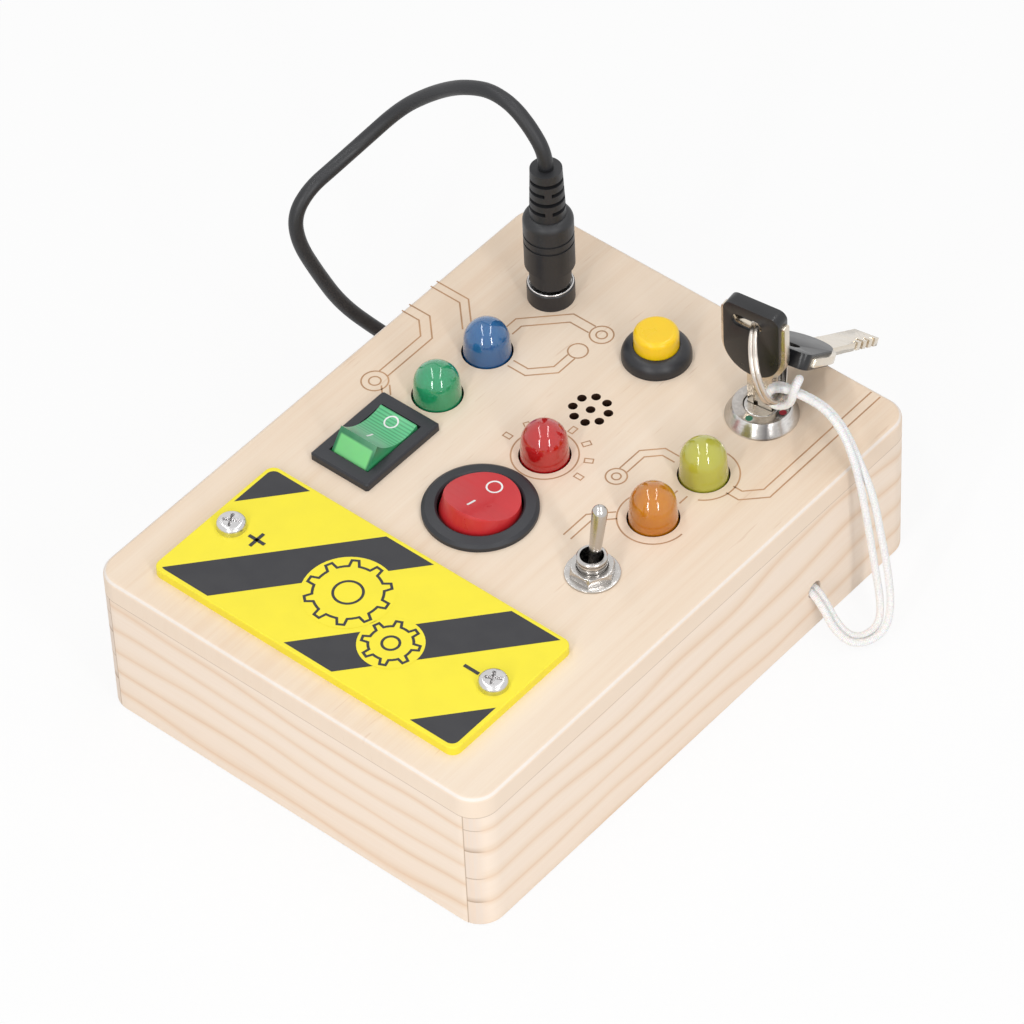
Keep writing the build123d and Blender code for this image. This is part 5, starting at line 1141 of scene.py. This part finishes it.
# ---- stage and light
WHITE = (1.0, 1.0, 1.0, 1.0)
FLOOR_COLOUR = (0.86, 0.86, 0.86, 1.0)
FLOOR_GLOW = 0.88  # how much of the floor is plain white to the background rays
FLOOR_HALF = 3.0
FLOOR_DROP = 0.0002
WORLD_LEVEL = 0.46


def background_rays(tree):
    """1 on rays from the camera, a gloss or clear plastic, which see the background as white."""
    path = tree.nodes.new("ShaderNodeLightPath")
    seen = path.outputs["Is Camera Ray"]
    for ray in ("Is Glossy Ray", "Is Transmission Ray"):
        either = tree.nodes.new("ShaderNodeMath")
        either.operation = "MAXIMUM"
        tree.links.new(seen, either.inputs[0])
        tree.links.new(path.outputs[ray], either.inputs[1])
        seen = either.outputs[0]
    return seen


def add_stage():
    """White floor that keeps a soft shadow."""
    shader = Shader("floor_white")
    diffuse = shader.add("ShaderNodeBsdfDiffuse")
    diffuse.inputs[0].default_value = FLOOR_COLOUR
    glow = shader.add("ShaderNodeEmission")
    glow.inputs[0].default_value = WHITE
    glow.inputs[1].default_value = 1.0
    blend = shader.add("ShaderNodeMixShader")
    shader.put(shader.calc("MULTIPLY", background_rays(shader.tree), FLOOR_GLOW), blend.inputs[0])
    shader.put(diffuse.outputs[0], blend.inputs[1])
    shader.put(glow.outputs[0], blend.inputs[2])
    shader.put(blend.outputs[0], shader.tree.nodes["Material Output"].inputs[0])
    verts = [(x * FLOOR_HALF, y * FLOOR_HALF, 0) for x, y in ((-1, -1), (1, -1), (1, 1), (-1, 1))]
    floor = mesh_object("floor", verts, [(0, 1, 2, 3)], shader.material)
    floor.location.z = -FLOOR_DROP


def add_world():
    """A plain soft surround that looks white but lights the object less."""
    world = bpy.data.worlds.new("world")
    bpy.context.scene.world = world
    world.use_nodes = True
    tree = world.node_tree
    plain = tree.nodes["Background"]
    white = tree.nodes.new("ShaderNodeBackground")
    for background, level in ((plain, WORLD_LEVEL), (white, 1.0)):
        background.inputs[0].default_value = WHITE
        background.inputs[1].default_value = level
    blend = tree.nodes.new("ShaderNodeMixShader")
    tree.links.new(background_rays(tree), blend.inputs[0])
    tree.links.new(plain.outputs[0], blend.inputs[1])
    tree.links.new(white.outputs[0], blend.inputs[2])
    tree.links.new(blend.outputs[0], tree.nodes["World Output"].inputs[0])


UP = Vector((0.0, 0.0, 1.0))
LIGHT_TARGET = Vector((0.0, 0.0, 0.03))
LIGHT_REACH = 0.85
# Strip lights, seen from the object: turn from the camera's side and height in degrees, width and
# length in m, power in W
STRIPS = [
    (-19.0, 95.0, 0.05, 0.95, 1.4),
    (19.0, 95.0, 0.05, 0.95, 1.4),
    (-24.0, 34.0, 0.05, 0.55, 1.85),
    (24.0, 34.0, 0.05, 0.55, 1.85),
]


def add_lights():
    """Four long strips: two overhead and two in front, either side of the camera."""
    forward = Vector((math.sin(CAMERA_AZIMUTH), -math.cos(CAMERA_AZIMUTH), 0.0))
    right = Vector((math.cos(CAMERA_AZIMUTH), math.sin(CAMERA_AZIMUTH), 0.0))
    for number, (turn, height, width, length, power) in enumerate(STRIPS):
        rise = math.radians(height)
        lean = math.radians(turn)
        arc = forward * math.cos(rise) + UP * math.sin(rise)
        direction = (arc * math.cos(lean) + right * math.sin(lean)).normalized()
        along = -forward * math.sin(rise) + UP * math.cos(rise)
        along = (along - direction * along.dot(direction)).normalized()
        data = bpy.data.lights.new(f"strip_{number}", "AREA")
        data.shape = "RECTANGLE"
        data.size = width
        data.size_y = length
        data.energy = power
        light = add_object(f"strip_{number}", data)
        axes = Matrix((along.cross(direction), along, direction)).transposed().to_4x4()
        light.matrix_world = Matrix.Translation(LIGHT_TARGET + direction * LIGHT_REACH) @ axes


# ---- build
bpy.context.scene.view_settings.view_transform = "Standard"
add_camera()
materials = add_materials()
add_cable(materials)
hitch = add_knot(materials)
add_strand("lanyard_back", LANYARD_BACK, materials)
add_strand("lanyard_front", LANYARD_FRONT, materials)
finish_nodes(materials)
squash_button_spring()
add_socket_rim(materials)
add_engraving(materials)
add_stripes(materials)
add_plate_signs(materials)
add_rocker_marks(materials)
add_stage()
add_world()
add_lights()
